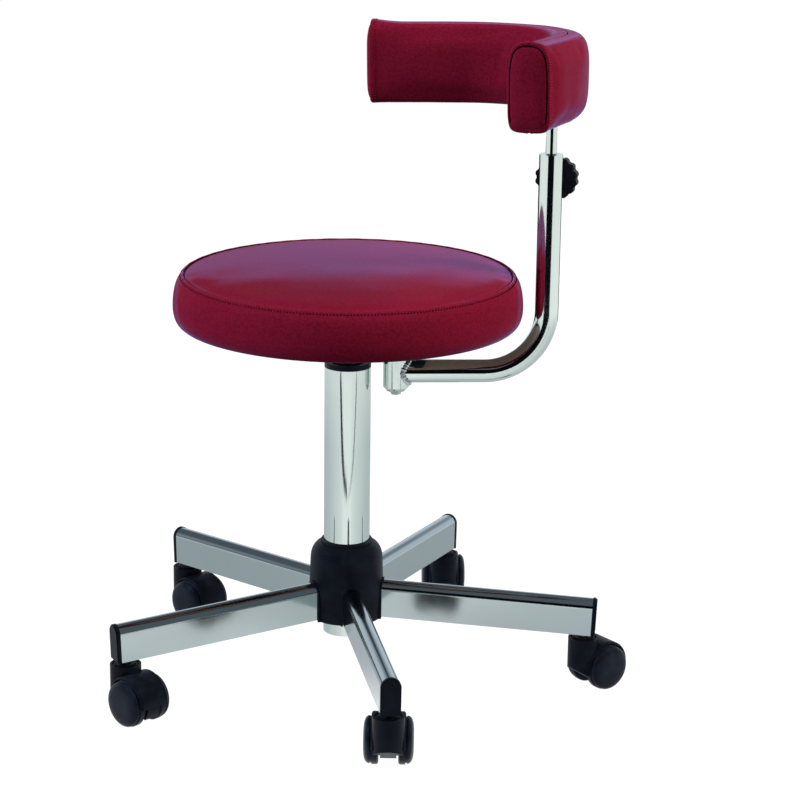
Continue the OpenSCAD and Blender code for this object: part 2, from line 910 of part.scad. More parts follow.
module clamp_stud() {
    color("silver")
        swung()
            at_clamp()
                translate([0, 0, stud_tip])
                    cylinder(d = stud_d, h = stud_end - stud_tip);
}

// Outline of the knob: a disc with round lobes, drawn smaller by an inset
module knob_outline(inset) {
    lobe_r = lobe_r_share * PI * knob_d / knob_lobes / 2;
    circle(r = knob_d / 2 - lobe_r * lobe_depth_share - inset);
    for (i = [0 : knob_lobes - 1])
        rotate([0, 0, i * 360 / knob_lobes])
            translate([knob_d / 2 - lobe_r, 0])
                circle(r = lobe_r - inset, $fn = 32);
}

module clamp_knob() {
    color("dimgray")
        swung()
            at_clamp()
                translate([0, 0, knob_inner])
                    difference() {
                        union() {
                            cylinder(d = knob_neck_d, h = knob_neck);
                            translate([0, 0, knob_neck])
                                linear_extrude(height = lobe_edge)
                                    knob_outline(lobe_edge / 2);
                            translate([0, 0, knob_neck + lobe_edge])
                                linear_extrude(height = knob_t - 2 * lobe_edge)
                                    knob_outline(0);
                            translate([0, 0, knob_neck + knob_t - lobe_edge])
                                linear_extrude(height = lobe_edge)
                                    knob_outline(lobe_edge / 2);
                        }
                        translate([0, 0, -cut])
                            cylinder(r = stud_d / 2 + fit, h = stud_end - knob_inner + end_play + cut);
                    }
}

module back_rod() {
    color("gainsboro")
        swung()
            translate([0, back_reach, rod_bottom_z])
                cylinder(d = rod_d, h = rod_top_z - rod_bottom_z);
}

// Places the back cushion's pieces on the rod, with +Y pointing away from the sitter
module on_rod() {
    swung()
        translate([0, back_reach, 0])
            rotate([0, 0, pad_turn - arm_swing])
                children();
}

// Leans the children sideways by the cushion's lean, about its middle
module leaned() {
    translate([0, 0, pad_mid_z])
        rotate([0, -pad_roll, 0])
            translate([0, 0, -pad_mid_z])
                children();
}

// Arc of a curved sheet about the back cushion's centre of bend
module arc_sheet(r, t, z, h, span) {
    translate([0, -bend_y, z])
        rotate([0, 0, 90 - span / 2])
            rotate_extrude(angle = span)
                translate([r, 0])
                    square([t, h]);
}

function span_of(length, r) = length / r * 180 / PI;

// Places of the screws that hold the plate to the board, as angle and height
function band_screws() = [
    for (side = [-1, 1]) for (level = [1 / 4, 3 / 4])
        [side * span_of(band_l, band_r) * screw_place_share, band_z + level * band_h]
];

// Holes for the screws that hold the plate to the board
module band_screw_holes() {
    for (p = band_screws())
        translate([0, -bend_y, p[1]])
            rotate([0, 0, p[0]])
                rotate([-90, 0, 0])
                    translate([0, 0, screw_tip_r])
                        cylinder(d = band_screw_d, h = band_r + band_t - screw_tip_r + cut);
}

// Back plate: the rod's socket welded to a steel plate that follows the bend
module back_plate() {
    color("gray")
        on_rod()
            difference() {
                union() {
                    translate([0, 0, sleeve_z])
                        cylinder(d = sleeve_d, h = sleeve_h);
                    leaned() {
                        arc_sheet(band_r, band_t, band_z, band_h, span_of(band_l, band_r));
                        translate([-saddle_w / 2, -sleeve_d / 2 - band_t / 4, band_z + band_t / 2])
                            cube([saddle_w, sleeve_d / 2 + band_t / 4, band_h - band_t]);
                    }
                }
                translate([0, 0, sleeve_z - cut])
                    cylinder(r = rod_d / 2 + fit, h = sleeve_h - band_t + cut);
                leaned()
                    band_screw_holes();
            }
}

module back_board() {
    color("burlywood")
        on_rod()
            leaned()
                difference() {
                    arc_sheet(ply_r, ply_t, ply_z, ply_h, 2 * pad_angle);
                    band_screw_holes();
                }
}

module back_screws() {
    color("silver")
        on_rod()
            leaned()
                for (p = band_screws())
                    translate([0, -bend_y, p[1]])
                        rotate([0, 0, p[0]])
                            rotate([-90, 0, 0]) {
                                translate([0, 0, screw_tip_r])
                                    cylinder(d = band_screw_d, h = band_r + band_t - screw_tip_r);
                                translate([0, 0, band_r + band_t])
                                    cylinder(d = band_screw_head_d, h = band_screw_head_h);
                            }
}

// Middle line of the back cushion: straight, bent, straight, from one end to the other
function pad_heading(u) = max(-pad_angle, min(pad_angle, u / pad_r * 180 / PI));
function pad_point(u, off) =
    let (a = pad_heading(u), extra = abs(u) > pad_arc_l ? u - sign(u) * pad_arc_l : 0)
    [
        (pad_r + off) * sin(a) + extra * cos(a),
        (pad_r + off) * cos(a) - bend_y - extra * sin(a)
    ];

// How far the section draws in at a place near an end of the cushion
function pad_draw(u) =
    let (left = pad_half_l - abs(u))
    left >= pad_end_round ? 0 : pad_end_round - sqrt(pow(pad_end_round, 2) - pow(pad_end_round - left, 2));

// Places of the rings: close together where the ends round off, even between them
function pad_stations() =
    let (
        inner = pad_rings - 2 * len(pad_end_share),
        reach = pad_half_l - pad_end_round
    )
    concat(
        [for (s = pad_end_share) -pad_half_l + s * pad_end_round],
        [for (k = [1 : inner]) -reach + 2 * reach * k / (inner + 1)],
        [for (k = [len(pad_end_share) - 1 : -1 : 0]) pad_half_l - pad_end_share[k] * pad_end_round]
    );

// One ring of the cushion's skin: an oblong with full faces and round corners
function pad_ring(u) =
    let (draw = pad_draw(u), half_t = pad_t / 2 - draw * 0.8, half_h = pad_h / 2 - draw)
    [for (k = [0 : pad_points - 1])
        let (
            a = 360 * (k + 0.5) / pad_points,
            off = half_t * sign(cos(a)) * pow(abs(cos(a)), pad_power_share),
            rise = half_h * sign(sin(a)) * pow(abs(sin(a)), pad_power_share),
            p = pad_point(u, off)
        )
        [p[0], p[1], pad_mid_z + rise]
    ];

// Skin of the back cushion, closed by a low cone at each end
module pad_skin() {
    stations = pad_stations();
    n = pad_points;
    last = len(stations) - 1;
    tip_a = pad_point(-pad_half_l - pad_end_bulge, 0);
    tip_b = pad_point(pad_half_l + pad_end_bulge, 0);
    points = concat(
        [for (u = stations) each pad_ring(u)],
        [[tip_a[0], tip_a[1], pad_mid_z], [tip_b[0], tip_b[1], pad_mid_z]]
    );
    side_faces = [for (i = [0 : last - 1]) for (k = [0 : n - 1])
        let (a = i * n + k, b = i * n + (k + 1) % n)
        each [[a, b, b + n], [a, b + n, a + n]]
    ];
    end_faces = [for (k = [0 : n - 1])
        let (m = (k + 1) % n)
        each [[len(points) - 2, m, k], [len(points) - 1, last * n + k, last * n + m]]
    ];
    polyhedron(points = points, faces = concat(side_faces, end_faces), convexity = 4);
}

module back_cushion() {
    color("firebrick")
        on_rod()
            difference() {
                leaned()
                    difference() {
                        pad_skin();
                        arc_sheet(ply_r - soft_gap, ply_t + 2 * soft_gap, ply_z - soft_gap,
                            ply_h + 2 * soft_gap, span_of(2 * pad_arc_l + 2 * soft_gap, pad_r));
                        arc_sheet(band_r, band_t + band_screw_head_h + soft_gap,
                            band_z - soft_gap, band_h + 2 * soft_gap,
                            span_of(band_l + 4 * soft_gap, band_r));
                    }
                translate([0, 0, pad_bottom_z - cut])
                    cylinder(d = sleeve_d + 2 * soft_gap, h = sleeve_lift + sleeve_h + soft_gap + cut);
            }
}

// Places the children at a castor's stem on the floor, with X pointing the way it trails
module at_castor(i) {
    rotate([0, 0, base_turn + i * arm_pitch])
        translate([stem_r, 0, 0])
            rotate([0, 0, castor_heading[i % len(castor_heading)] - base_turn - i * arm_pitch])
                children();
}

// Places the children at the wheel axle, with Z pointing out along it to one side
module at_axle(side) {
    translate([castor_trail, 0, wheel_r])
        rotate([side * -90, 0, 0])
            children();
}

// Hood: a web between the wheels, a housing round the stem and a guard over the wheels
module castor_hood(i) {
    color("dimgray")
        at_castor(i)
            difference() {
                union() {
                    at_axle(1)
                        translate([0, 0, -web_w / 2])
                            cylinder(r = wheel_r, h = web_w);
                    intersection() {
                        at_axle(1)
                            rotate_extrude()
                                polygon([
                                    [0, -hood_w / 2], [hood_r - hood_edge, -hood_w / 2],
                                    [hood_r, -hood_w / 2 + hood_edge], [hood_r, hood_w / 2 - hood_edge],
                                    [hood_r - hood_edge, hood_w / 2], [0, hood_w / 2]
                                ]);
                        translate([-housing_d, -hood_w, wheel_r])
                            cube([castor_trail + hood_r + housing_d, 2 * hood_w, hood_r]);
                    }
                    translate([0, 0, hood_clear])
                        cylinder(d = housing_d, h = castor_h - ring_h - hood_clear);
                    translate([0, 0, castor_h - ring_h])
                        cylinder(d = ring_d, h = ring_h);
                }
                translate([-housing_d, -hood_w, -cut])
                    cube([castor_trail + hood_r + housing_d, 2 * hood_w, hood_clear + cut]);
                translate([-housing_d / 2, -hood_w, nose_z])
                    rotate([0, atan((nose_z - hood_clear) / (housing_d * nose_share)), 0])
                        translate([-housing_d, 0, -2 * nose_z])
                            cube([3 * housing_d, 2 * hood_w, 2 * nose_z]);
                for (side = [-1, 1])
                    at_axle(side)
                        translate([0, 0, web_w / 2])
                            cylinder(r = well_r, h = hood_w);
                at_axle(1)
                    translate([0, 0, -hood_w])
                        cylinder(d = axle_d, h = 2 * hood_w);
                translate([0, 0, castor_h - stem_sink])
                    cylinder(d = stem_d, h = stem_sink + cut);
                translate([0, 0, castor_h - ring_h - ring_groove])
                    difference() {
                        cylinder(d = housing_d - 2 * hood_wall, h = ring_groove + cut);
                        cylinder(d = ring_d + hood_wall, h = ring_groove + cut);
                    }
            }
}

module castor_stem(i) {
    top = arm_end_z + stem_up;
    color("silver")
        at_castor(i)
            difference() {
                translate([0, 0, castor_h - stem_sink])
                    cylinder(d = stem_d, h = top - castor_h + stem_sink);
                translate([0, 0, top - 2 * stem_groove_h])
                    difference() {
                        cylinder(d = 2 * stem_d, h = stem_groove_h);
                        cylinder(d = stem_groove_d, h = stem_groove_h);
                    }
            }
}

module castor_axle(i) {
    reach = wheel_gap / 2 + wheel_w - axle_end_cover;
    color("silver")
        at_castor(i)
            at_axle(1)
                translate([0, 0, -reach])
                    cylinder(d = axle_d, h = 2 * reach);
}

// Outline of a wheel from its bore out over the tread and in across the domed face
function wheel_outline() =
    let (
        inner = wheel_gap / 2,
        outer = inner + wheel_w,
        tread = inner + tread_w,
        face_r = wheel_r - groove_depth / 2,
        bore_r = axle_d / 2 + fit,
        bore_end = outer - axle_end_cover + end_play
    )
    concat(
        [
            [bore_r, inner],
            [wheel_boss_r, inner],
            [wheel_boss_r + hub_recess, inner + hub_recess],
            [wheel_r - hub_recess, inner + hub_recess],
            [wheel_r, inner + 2 * hub_recess],
            [wheel_r, tread - groove_w],
            [wheel_r - groove_depth, tread],
            [wheel_r - groove_depth, tread + groove_w]
        ],
        [for (k = [0 : wheel_steps])
            let (a = 90 * k / wheel_steps)
            [
                face_r * pow(cos(a), 0.45),
                tread + 2 * groove_w + (outer - tread - 2 * groove_w) * sin(a)
            ]
        ],
        [[0, bore_end], [bore_r, bore_end]]
    );

module castor_wheel(i, side) {
    color("dimgray")
        at_castor(i)
            at_axle(side)
                rotate_extrude()
                    polygon(wheel_outline());
}

column_tube();
column_floor();
thrust_bearing();
guide_bush();
hub_cover();
end_plugs();
for (i = [1:arm_count])
    arm(i - 1);
piston_rod();
buffer_ring();
gas_cylinder();
release_pin();
release_lever();
lever_pin();
seat_plate();
seat_board();
seat_screws();
seat_cushion();
pivot_bolt();
pivot_tube();
pivot_bushes();
back_tube();
guide_sleeve();
clamp_boss();
clamp_stud();
clamp_knob();
back_rod();
back_plate();
back_board();
back_screws();
back_cushion();
for (i = [1:arm_count]) {
    castor_hood(i - 1);
    castor_stem(i - 1);
    castor_axle(i - 1);
    castor_wheel(i - 1, 1);
    castor_wheel(i - 1, -1);
}
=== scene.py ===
"""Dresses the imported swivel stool: upholstery, plating, mouldings, studio and camera."""

import json
import logging
import math
from dataclasses import dataclass, field
from enum import Enum
from typing import Callable, Iterable, Sequence

import bmesh
import bpy
from mathutils import Matrix, Vector, noise
from mathutils.bvhtree import BVHTree


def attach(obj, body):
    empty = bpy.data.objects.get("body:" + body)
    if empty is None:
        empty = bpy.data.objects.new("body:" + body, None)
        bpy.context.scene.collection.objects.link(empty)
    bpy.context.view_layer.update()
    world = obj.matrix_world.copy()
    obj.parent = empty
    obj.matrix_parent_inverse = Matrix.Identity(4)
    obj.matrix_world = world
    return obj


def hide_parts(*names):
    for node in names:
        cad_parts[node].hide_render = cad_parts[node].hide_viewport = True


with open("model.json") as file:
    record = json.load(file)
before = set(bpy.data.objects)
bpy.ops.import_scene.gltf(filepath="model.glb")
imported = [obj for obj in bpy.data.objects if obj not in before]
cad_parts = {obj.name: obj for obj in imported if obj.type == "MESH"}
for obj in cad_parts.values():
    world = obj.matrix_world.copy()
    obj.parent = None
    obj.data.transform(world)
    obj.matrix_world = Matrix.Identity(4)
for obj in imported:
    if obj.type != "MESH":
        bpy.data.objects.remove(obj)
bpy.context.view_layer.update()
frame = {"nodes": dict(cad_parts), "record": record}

LOG = logging.getLogger("stool")
MM = 0.001
Point = tuple[float, float, float]
Socket = bpy.types.NodeSocket
Sockets = bpy.types.bpy_prop_collection
Thing = bpy.types.Object
Material = bpy.types.Material


def linear(code: str) -> tuple[float, float, float, float]:
    """Turns an sRGB hex colour into linear light.

    Args:
        code: Colour as "#rrggbb".

    Returns:
        Red, green, blue and an alpha of one.
    """
    parts = [int(code[i : i + 2], 16) / 255 for i in (1, 3, 5)]
    lit = [p / 12.92 if p <= 0.04045 else ((p + 0.055) / 1.055) ** 2.4 for p in parts]
    return (lit[0], lit[1], lit[2], 1.0)


@dataclass
class Graph:
    """A node tree in the making, with short ways to add the nodes that many finishes share."""

    tree: bpy.types.NodeTree

    def add(self, kind: str, inputs: dict | None = None, **fields: object) -> bpy.types.Node:
        """Adds one node.

        Args:
            kind: The node's type name.
            inputs: What each input gets, by name or number: a value, or an output to link.
            fields: Settings of the node itself.

        Returns:
            The new node.
        """
        made = self.tree.nodes.new(kind)
        for name, value in fields.items():
            setattr(made, name, value)
        for name, value in (inputs or {}).items():
            if isinstance(value, Socket):
                self.tree.links.new(value, made.inputs[name])
            else:
                made.inputs[name].default_value = value
        return made

    def out(
        self, kind: str, name: str | int, inputs: dict | None = None, **fields: object
    ) -> Socket:
        """Adds one node and gives its output of that name; the rest is as for add."""
        return self.add(kind, inputs, **fields).outputs[name]

    def place(self, kind: str = "Object") -> Socket:
        """Gives the texture coordinate of that kind."""
        return self.out("ShaderNodeTexCoord", kind)

    def split(self, vector: Socket) -> Sockets:
        """Gives the X, Y and Z outputs of a vector."""
        return self.add("ShaderNodeSeparateXYZ", {0: vector}).outputs

    def cloud(
        self, place: Socket, scale: float, detail: float, output: str = "Fac", **more: float
    ) -> Socket:
        """Gives a noise texture's output.

        Args:
            place: Coordinates.
            scale: Cells to the metre.
            detail: Octaves.
            output: "Fac" or "Color".
            more: Other inputs of the texture.

        Returns:
            The output.
        """
        inputs = {"Vector": place, "Scale": scale, "Detail": detail, **more}
        return self.out("ShaderNodeTexNoise", output, inputs)

    def span(
        self,
        value: Socket,
        low: float = 0.0,
        high: float = 1.0,
        first: float = 0.0,
        last: float = 1.0,
        step: str = "LINEAR",
    ) -> Socket:
        """Maps a value from one range to another.

        Args:
            value: What is mapped.
            low: Value that gives first.
            high: Value that gives last.
            first: Result at low.
            last: Result at high.
            step: Kind of interpolation.

        Returns:
            The mapped value.
        """
        inputs = {"Value": value, "From Min": low, "From Max": high}
        inputs.update({"To Min": first, "To Max": last})
        return self.out("ShaderNodeMapRange", "Result", inputs, interpolation_type=step)

    def maths(self, operation: str, *terms: Socket | float) -> Socket:
        """Gives the result of a sum on its terms."""
        return self.out("ShaderNodeMath", "Value", dict(enumerate(terms)), operation=operation)

    def mix(
        self,
        share: Socket | float,
        one: Socket | Sequence[float],
        two: Socket | Sequence[float],
        blend: str = "MIX",
    ) -> Socket:
        """Mixes two colours.

        Args:
            share: Share of the second.
            one: First colour.
            two: Second colour.
            blend: Kind of mixing.

        Returns:
            The mixed colour.
        """
        inputs = {"Fac": share, "Color1": one, "Color2": two}
        return self.out("ShaderNodeMixRGB", "Color", inputs, blend_type=blend)

    def bump(self, height: Socket, strength: float, mm: float) -> Socket:
        """Gives the normal of a surface raised by a height map of that depth."""
        inputs = {"Height": height, "Strength": strength, "Distance": mm * MM}
        return self.out("ShaderNodeBump", "Normal", inputs)

    def surface(self, shader: Socket) -> None:
        """Closes a material's tree with its shader."""
        self.add("ShaderNodeOutputMaterial", {"Surface": shader})

    def close(self, colour: Socket, normal: Socket, rough: Socket | float, **more: object) -> None:
        """Closes a material's tree with its main shader and output.

        Args:
            colour: Base colour.
            normal: Bumped normal.
            rough: Roughness.
            more: Other inputs of the main shader, with underscores for spaces.
        """
        inputs = {"Base Color": colour, "Normal": normal, "Roughness": rough}
        inputs.update({name.replace("_", " "): value for name, value in more.items()})
        self.surface(self.out("ShaderNodeBsdfPrincipled", "BSDF", inputs))


def blank_material(name: str) -> tuple[Material, Graph]:
    """Makes an empty node material.

    Args:
        name: Name of the finish.

    Returns:
        The material and its tree.
    """
    made = bpy.data.materials.new(name)
    made.use_nodes = True
    made.node_tree.nodes.clear()
    return made, Graph(made.node_tree)


def link_object(name: str, data: bpy.types.ID) -> Thing:
    """Makes an object of a mesh, lamp or camera and puts it in the scene."""
    made = bpy.data.objects.new(name, data)
    bpy.context.scene.collection.objects.link(made)
    return made


def mesh_object(
    name: str,
    points: Sequence[Point],
    faces: Sequence[Sequence[int]],
    material: Material | None,
    smooth: bool = True,
) -> Thing:
    """Makes a mesh object at the origin with its faces turned outwards.

    Args:
        name: Name of the piece.
        points: Corners in metres.
        faces: Corner numbers of each face.
        material: Finish, or None.
        smooth: Whether faces are shaded smooth.

    Returns:
        The linked object.
    """
    mesh = bpy.data.meshes.new(name)
    mesh.from_pydata([tuple(p) for p in points], [], [tuple(f) for f in faces])
    shell = bmesh.new()
    shell.from_mesh(mesh)
    bmesh.ops.remove_doubles(shell, verts=shell.verts, dist=1e-6)
    bmesh.ops.recalc_face_normals(shell, faces=shell.faces)
    shell.to_mesh(mesh)
    shell.free()
    mesh.shade_smooth() if smooth else mesh.shade_flat()
    if material:
        mesh.materials.append(material)
    return link_object(name, mesh)


def plain_mesh(thing: Thing, name: str) -> Thing:
    """Turns an object with modifiers into a plain mesh object.

    Args:
        thing: Object whose evaluated shape is wanted; it is removed.
        name: Name of the plain piece.

    Returns:
        The plain piece.
    """
    graph = bpy.context.evaluated_depsgraph_get()
    mesh = bpy.data.meshes.new_from_object(thing.evaluated_get(graph))
    source = thing.data
    bpy.data.objects.remove(thing)
    bpy.data.meshes.remove(source)
    mesh.name = name
    return link_object(name, mesh)


def subdivided(piece: Thing) -> Thing:
    """Smooths a cover by one level of subdivision and makes it plain."""
    smooth = piece.modifiers.new("Smooth", "SUBSURF")
    smooth.levels = smooth.render_levels = 1
    return plain_mesh(piece, piece.name)


@dataclass(frozen=True)
class Leatherette:
    """PVC-coated upholstery cloth, embossed with a leather grain and lightly lacquered.

    The pebbled grain breaks the highlight into a soft sheen, which turns pale at a flat angle.
    The true grain of about 1.2 mm is drawn coarser, so that it shows.
    """

    name: str = "PVC leatherette"
    colour: str = "#82172e"
    deep: str = "#6e1327"
    grain_mm: float = 2.2
    depth_mm: float = 0.09
    bloom_from: float = 0.722
    bloom_full: float = 0.79
    bloom: float = 0.56

    def make(self) -> Material:
        """Builds the material."""
        made, graph = blank_material(self.name)
        place = graph.place()
        warp = graph.cloud(place, 260.0, 2.0, "Color")
        bent = graph.mix(0.0012, place, warp, "LINEAR_LIGHT")
        grain = {"Vector": bent, "Scale": 1000 / self.grain_mm, "Smoothness": 0.35}
        pebbles = graph.out("ShaderNodeTexVoronoi", "Distance", grain, feature="SMOOTH_F1")
        pores = graph.cloud(place, 900.0, 3.0)
        height = graph.maths("MULTIPLY_ADD", pebbles, -1.0, pores)
        tone = graph.mix(graph.cloud(place, 9.0, 3.0), linear(self.colour), linear(self.deep))
        # Painted shade: the low creases between the grain's pebbles are darkened towards #3c0613,
        # by up to 35 %
        crease_shade = graph.span(pebbles, 0.25, 0.75, 0.0, 0.35)
        # The lacquer turns to a violet bloom where the cover is seen at a flat angle
        glance = graph.out("ShaderNodeLayerWeight", "Facing", {"Blend": 0.5})
        rising = graph.span(glance, self.bloom_from, self.bloom_full, 0.0, self.bloom, "SMOOTHSTEP")
        falling = graph.span(glance, self.bloom_full, 0.93, 1.0, 0.3)
        # What faces down mirrors the pale floor a little
        facing = graph.split(graph.out("ShaderNodeNewGeometry", "Normal"))
        under = graph.span(facing["Z"], 0.1, -0.7, 0.0, 0.6)
        graph.close(
            graph.mix(crease_shade, tone, linear("#3c0613")),
            graph.bump(height, 0.55, self.depth_mm),
            graph.span(pores, first=0.36, last=0.5),
            IOR=1.5,
            Specular_IOR_Level=0.004,
            Specular_Tint=linear("#a9aef5"),
            Sheen_Roughness=0.35,
            Sheen_Tint=linear("#abacff"),
            Sheen_Weight=graph.maths("MAXIMUM", graph.maths("MULTIPLY", rising, falling), under),
        )
        return made


@dataclass(frozen=True)
class Plating:
    """Bright metal plating on drawn steel, with a trace of the polishing left under it.

    Gives near-mirror reflections that waver a little and smear where hands have wiped it.
    """

    name: str
    colour: str = "#d0dcd6"
    rough: float = 0.06
    smear: float = 0.06
    wave_mm: float = 0.02
    wave_scale: float = 35.0

    def make(self) -> Material:
        """Builds the material."""
        made, graph = blank_material(self.name)
        place = graph.place()
        film = graph.cloud(place, 22.0, 5.0, Roughness=0.6)
        rough = graph.span(film, 0.35, 0.8, self.rough, self.rough + self.smear)
        tone = graph.mix(rough, linear(self.colour), linear("#9aa3a0"))
        wave = graph.cloud(place, self.wave_scale, 1.0)
        graph.close(tone, graph.bump(wave, 0.3, self.wave_mm), rough, Metallic=1.0)
        return made


@dataclass(frozen=True)
class Moulding:
    """Injection-moulded thermoplastic from a spark-eroded tool, through-coloured.

    Its fine pits blur the highlight, and a slow mottle of gloss shows how it cooled.
    """

    name: str
    colour: str = "#14181e"
    worn: str = "#232a33"
    rough: float = 0.38
    grit_mm: float = 1.1
    depth_mm: float = 0.03
    gloss: float = 0.16

    def make(self) -> Material:
        """Builds the material."""
        made, graph = blank_material(self.name)
        place = graph.place()
        pits = graph.cloud(place, 1000 / self.grit_mm, 2.0)
        mottle = graph.cloud(place, 60.0, 4.0)
        fade = graph.span(mottle, 0.45, 0.75)
        graph.close(
            graph.mix(fade, linear(self.colour), linear(self.worn)),
            graph.bump(pits, 0.5, self.depth_mm),
            graph.span(mottle, first=self.rough - 0.06, last=self.rough + 0.1),
            IOR=1.49,
            Specular_IOR_Level=self.gloss,
            Specular_Tint=linear("#c4d4ff"),
        )
        return made


@dataclass(frozen=True)
class Plywood:
    """Birch plywood, rotary cut and sanded.

    Shows long brown figure along the face and thin dark glue lines between its layers.
    """

    name: str = "Birch plywood"
    layer_mm: float = 1.5

    def make(self) -> Material:
        """Builds the material."""
        made, graph = blank_material(self.name)
        place = graph.place()
        along = {"Vector": place, "Scale": (4.0, 40.0, 40.0)}
        stretched = graph.out("ShaderNodeMapping", "Vector", along)
        figure = graph.cloud(stretched, 3.0, 6.0, Distortion=0.6)
        layers = {"Vector": place, "Scale": 1000 / self.layer_mm / 20, "Distortion": 0.4}
        glue = graph.out("ShaderNodeTexWave", "Color", layers, bands_direction="Z")
        wood = graph.mix(figure, linear("#c4a08c"), linear("#9a7462"))
        graph.close(graph.mix(0.25, wood, glue, "MULTIPLY"), graph.bump(figure, 0.3, 0.1), 0.6)
        return made


@dataclass(frozen=True)
class Thread:
    """Bonded polyester sewing thread, twisted from three strands.

    The twist is bumped along each stitch, with a painted highlight on its raised strands.
    """

    name: str = "Polyester thread"
    colour: str = "#8c1428"
    twist_mm: float = 0.6

    def make(self) -> Material:
        """Builds the material."""
        made, graph = blank_material(self.name)
        twist = graph.cloud(graph.place(), 1000 / self.twist_mm, 1.0)
        # Painted highlight: the raised strands of the twist are lightened towards #b8283a
        tone = graph.mix(twist, linear(self.colour), linear("#b8283a"))
        graph.close(tone, graph.bump(twist, 0.4, 0.05), 0.55)
        return made


class Finish(Enum):
    """Every finish of the stool."""

    LEATHERETTE = Leatherette()
    BACK_LEATHERETTE = Leatherette(
        "PVC leatherette of the backrest", bloom_from=0.58, bloom_full=0.86, bloom=0.42
    )
    # Painted shade: a near-black finish for the seam grooves and needle holes, where shade falls
    SEAM_SHADE = Moulding(
        "Painted shade deep in a seam", colour="#15050a", worn="#22080f", rough=0.8, gloss=0.02
    )
    THREAD = Thread()
    CHROME = Plating("Bright chrome plate")
    # Painted shade: the arms' plating is darker than the column's, for the shaded floor they
    # mirror; its extra roughness and smear are its own
    ARM_CHROME = Plating(
        "Chrome plate on rolled tube", colour="#adb9ba", rough=0.1, smear=0.08, wave_mm=0.03
    )
    ZINC = Plating(
        "Zinc plate", colour="#b4b9b8", rough=0.24, smear=0.14, wave_mm=0.05, wave_scale=180.0
    )
    WELD = Plating(
        "Plated weld metal", colour="#c4cac8", rough=0.1, smear=0.12, wave_mm=0.5, wave_scale=520.0
    )
    BLACK_STEEL = Moulding(
        "Black powder coat",
        colour="#16181b", worn="#202327", rough=0.42, grit_mm=0.9, depth_mm=0.06
    )
    HUB_PLASTIC = Moulding(
        "Moulded polypropylene", colour="#0e1216", worn="#171c23", rough=0.4, grit_mm=1.4, gloss=0.1
    )
    WHEEL_PLASTIC = Moulding(
        "Moulded nylon", colour="#12161c", worn="#1c222b", rough=0.3, depth_mm=0.015
    )
    BUSH_PLASTIC = Moulding("Turned acetal", colour="#0d0f12", worn="#171a1e", rough=0.32)
    KNOB_PLASTIC = Moulding("Moulded soft plastic", colour="#101216", worn="#1d2024", rough=0.44)
    BLACK_UNDERSIDE = Moulding(
        "Black underside",
        colour="#0b0b0c", worn="#151516", rough=0.8, grit_mm=1.5, depth_mm=0.15
    )
    PLYWOOD = Plywood()
    RUBBER = Moulding(
        "Buffer rubber", colour="#101011", worn="#1c1c1d", rough=0.66, grit_mm=2.0, depth_mm=0.08
    )


class Slot(Enum):
    """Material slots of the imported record."""

    CHROME = "chrome"
    STEEL = "steel"
    BLACK_STEEL = "black_steel"
    BLACK_PLASTIC = "black_plastic"
    WHEEL_PLASTIC = "wheel_plastic"
    BUSH_PLASTIC = "bush_plastic"
    LEATHERETTE = "leatherette"
    PLYWOOD = "plywood"
    RUBBER = "rubber"

    @property
    def finish(self) -> Finish:
        """The finish that the slot gets where a node asks for no other."""
        others = {Slot.STEEL: Finish.ZINC, Slot.BLACK_PLASTIC: Finish.HUB_PLASTIC}
        return others.get(self) or Finish[self.name]


@dataclass
class Finishes:
    """The materials of every finish, made once."""

    made: dict[Finish, Material] = field(
        default_factory=lambda: {finish: finish.value.make() for finish in Finish}
    )

    def for_node(self, name: str, slot: str) -> Material:
        """Picks the material of a CAD node.

        Args:
            name: Name of the node.
            slot: The node's slot in the record.

        Returns:
            The material that the node gets.
        """
        if name.startswith("arm_"):
            # The arms take the darker plating, a painted shade
            return self.made[Finish.ARM_CHROME]
        if name == "clamp_knob":
            return self.made[Finish.KNOB_PLASTIC]
        if name in ("pivot_bushes", "pivot_bolt"):
            return self.made[Finish.ZINC]
        return self.made[Slot(slot).finish]


Widths = Callable[[Graph, Sockets], tuple[Socket, Socket]]


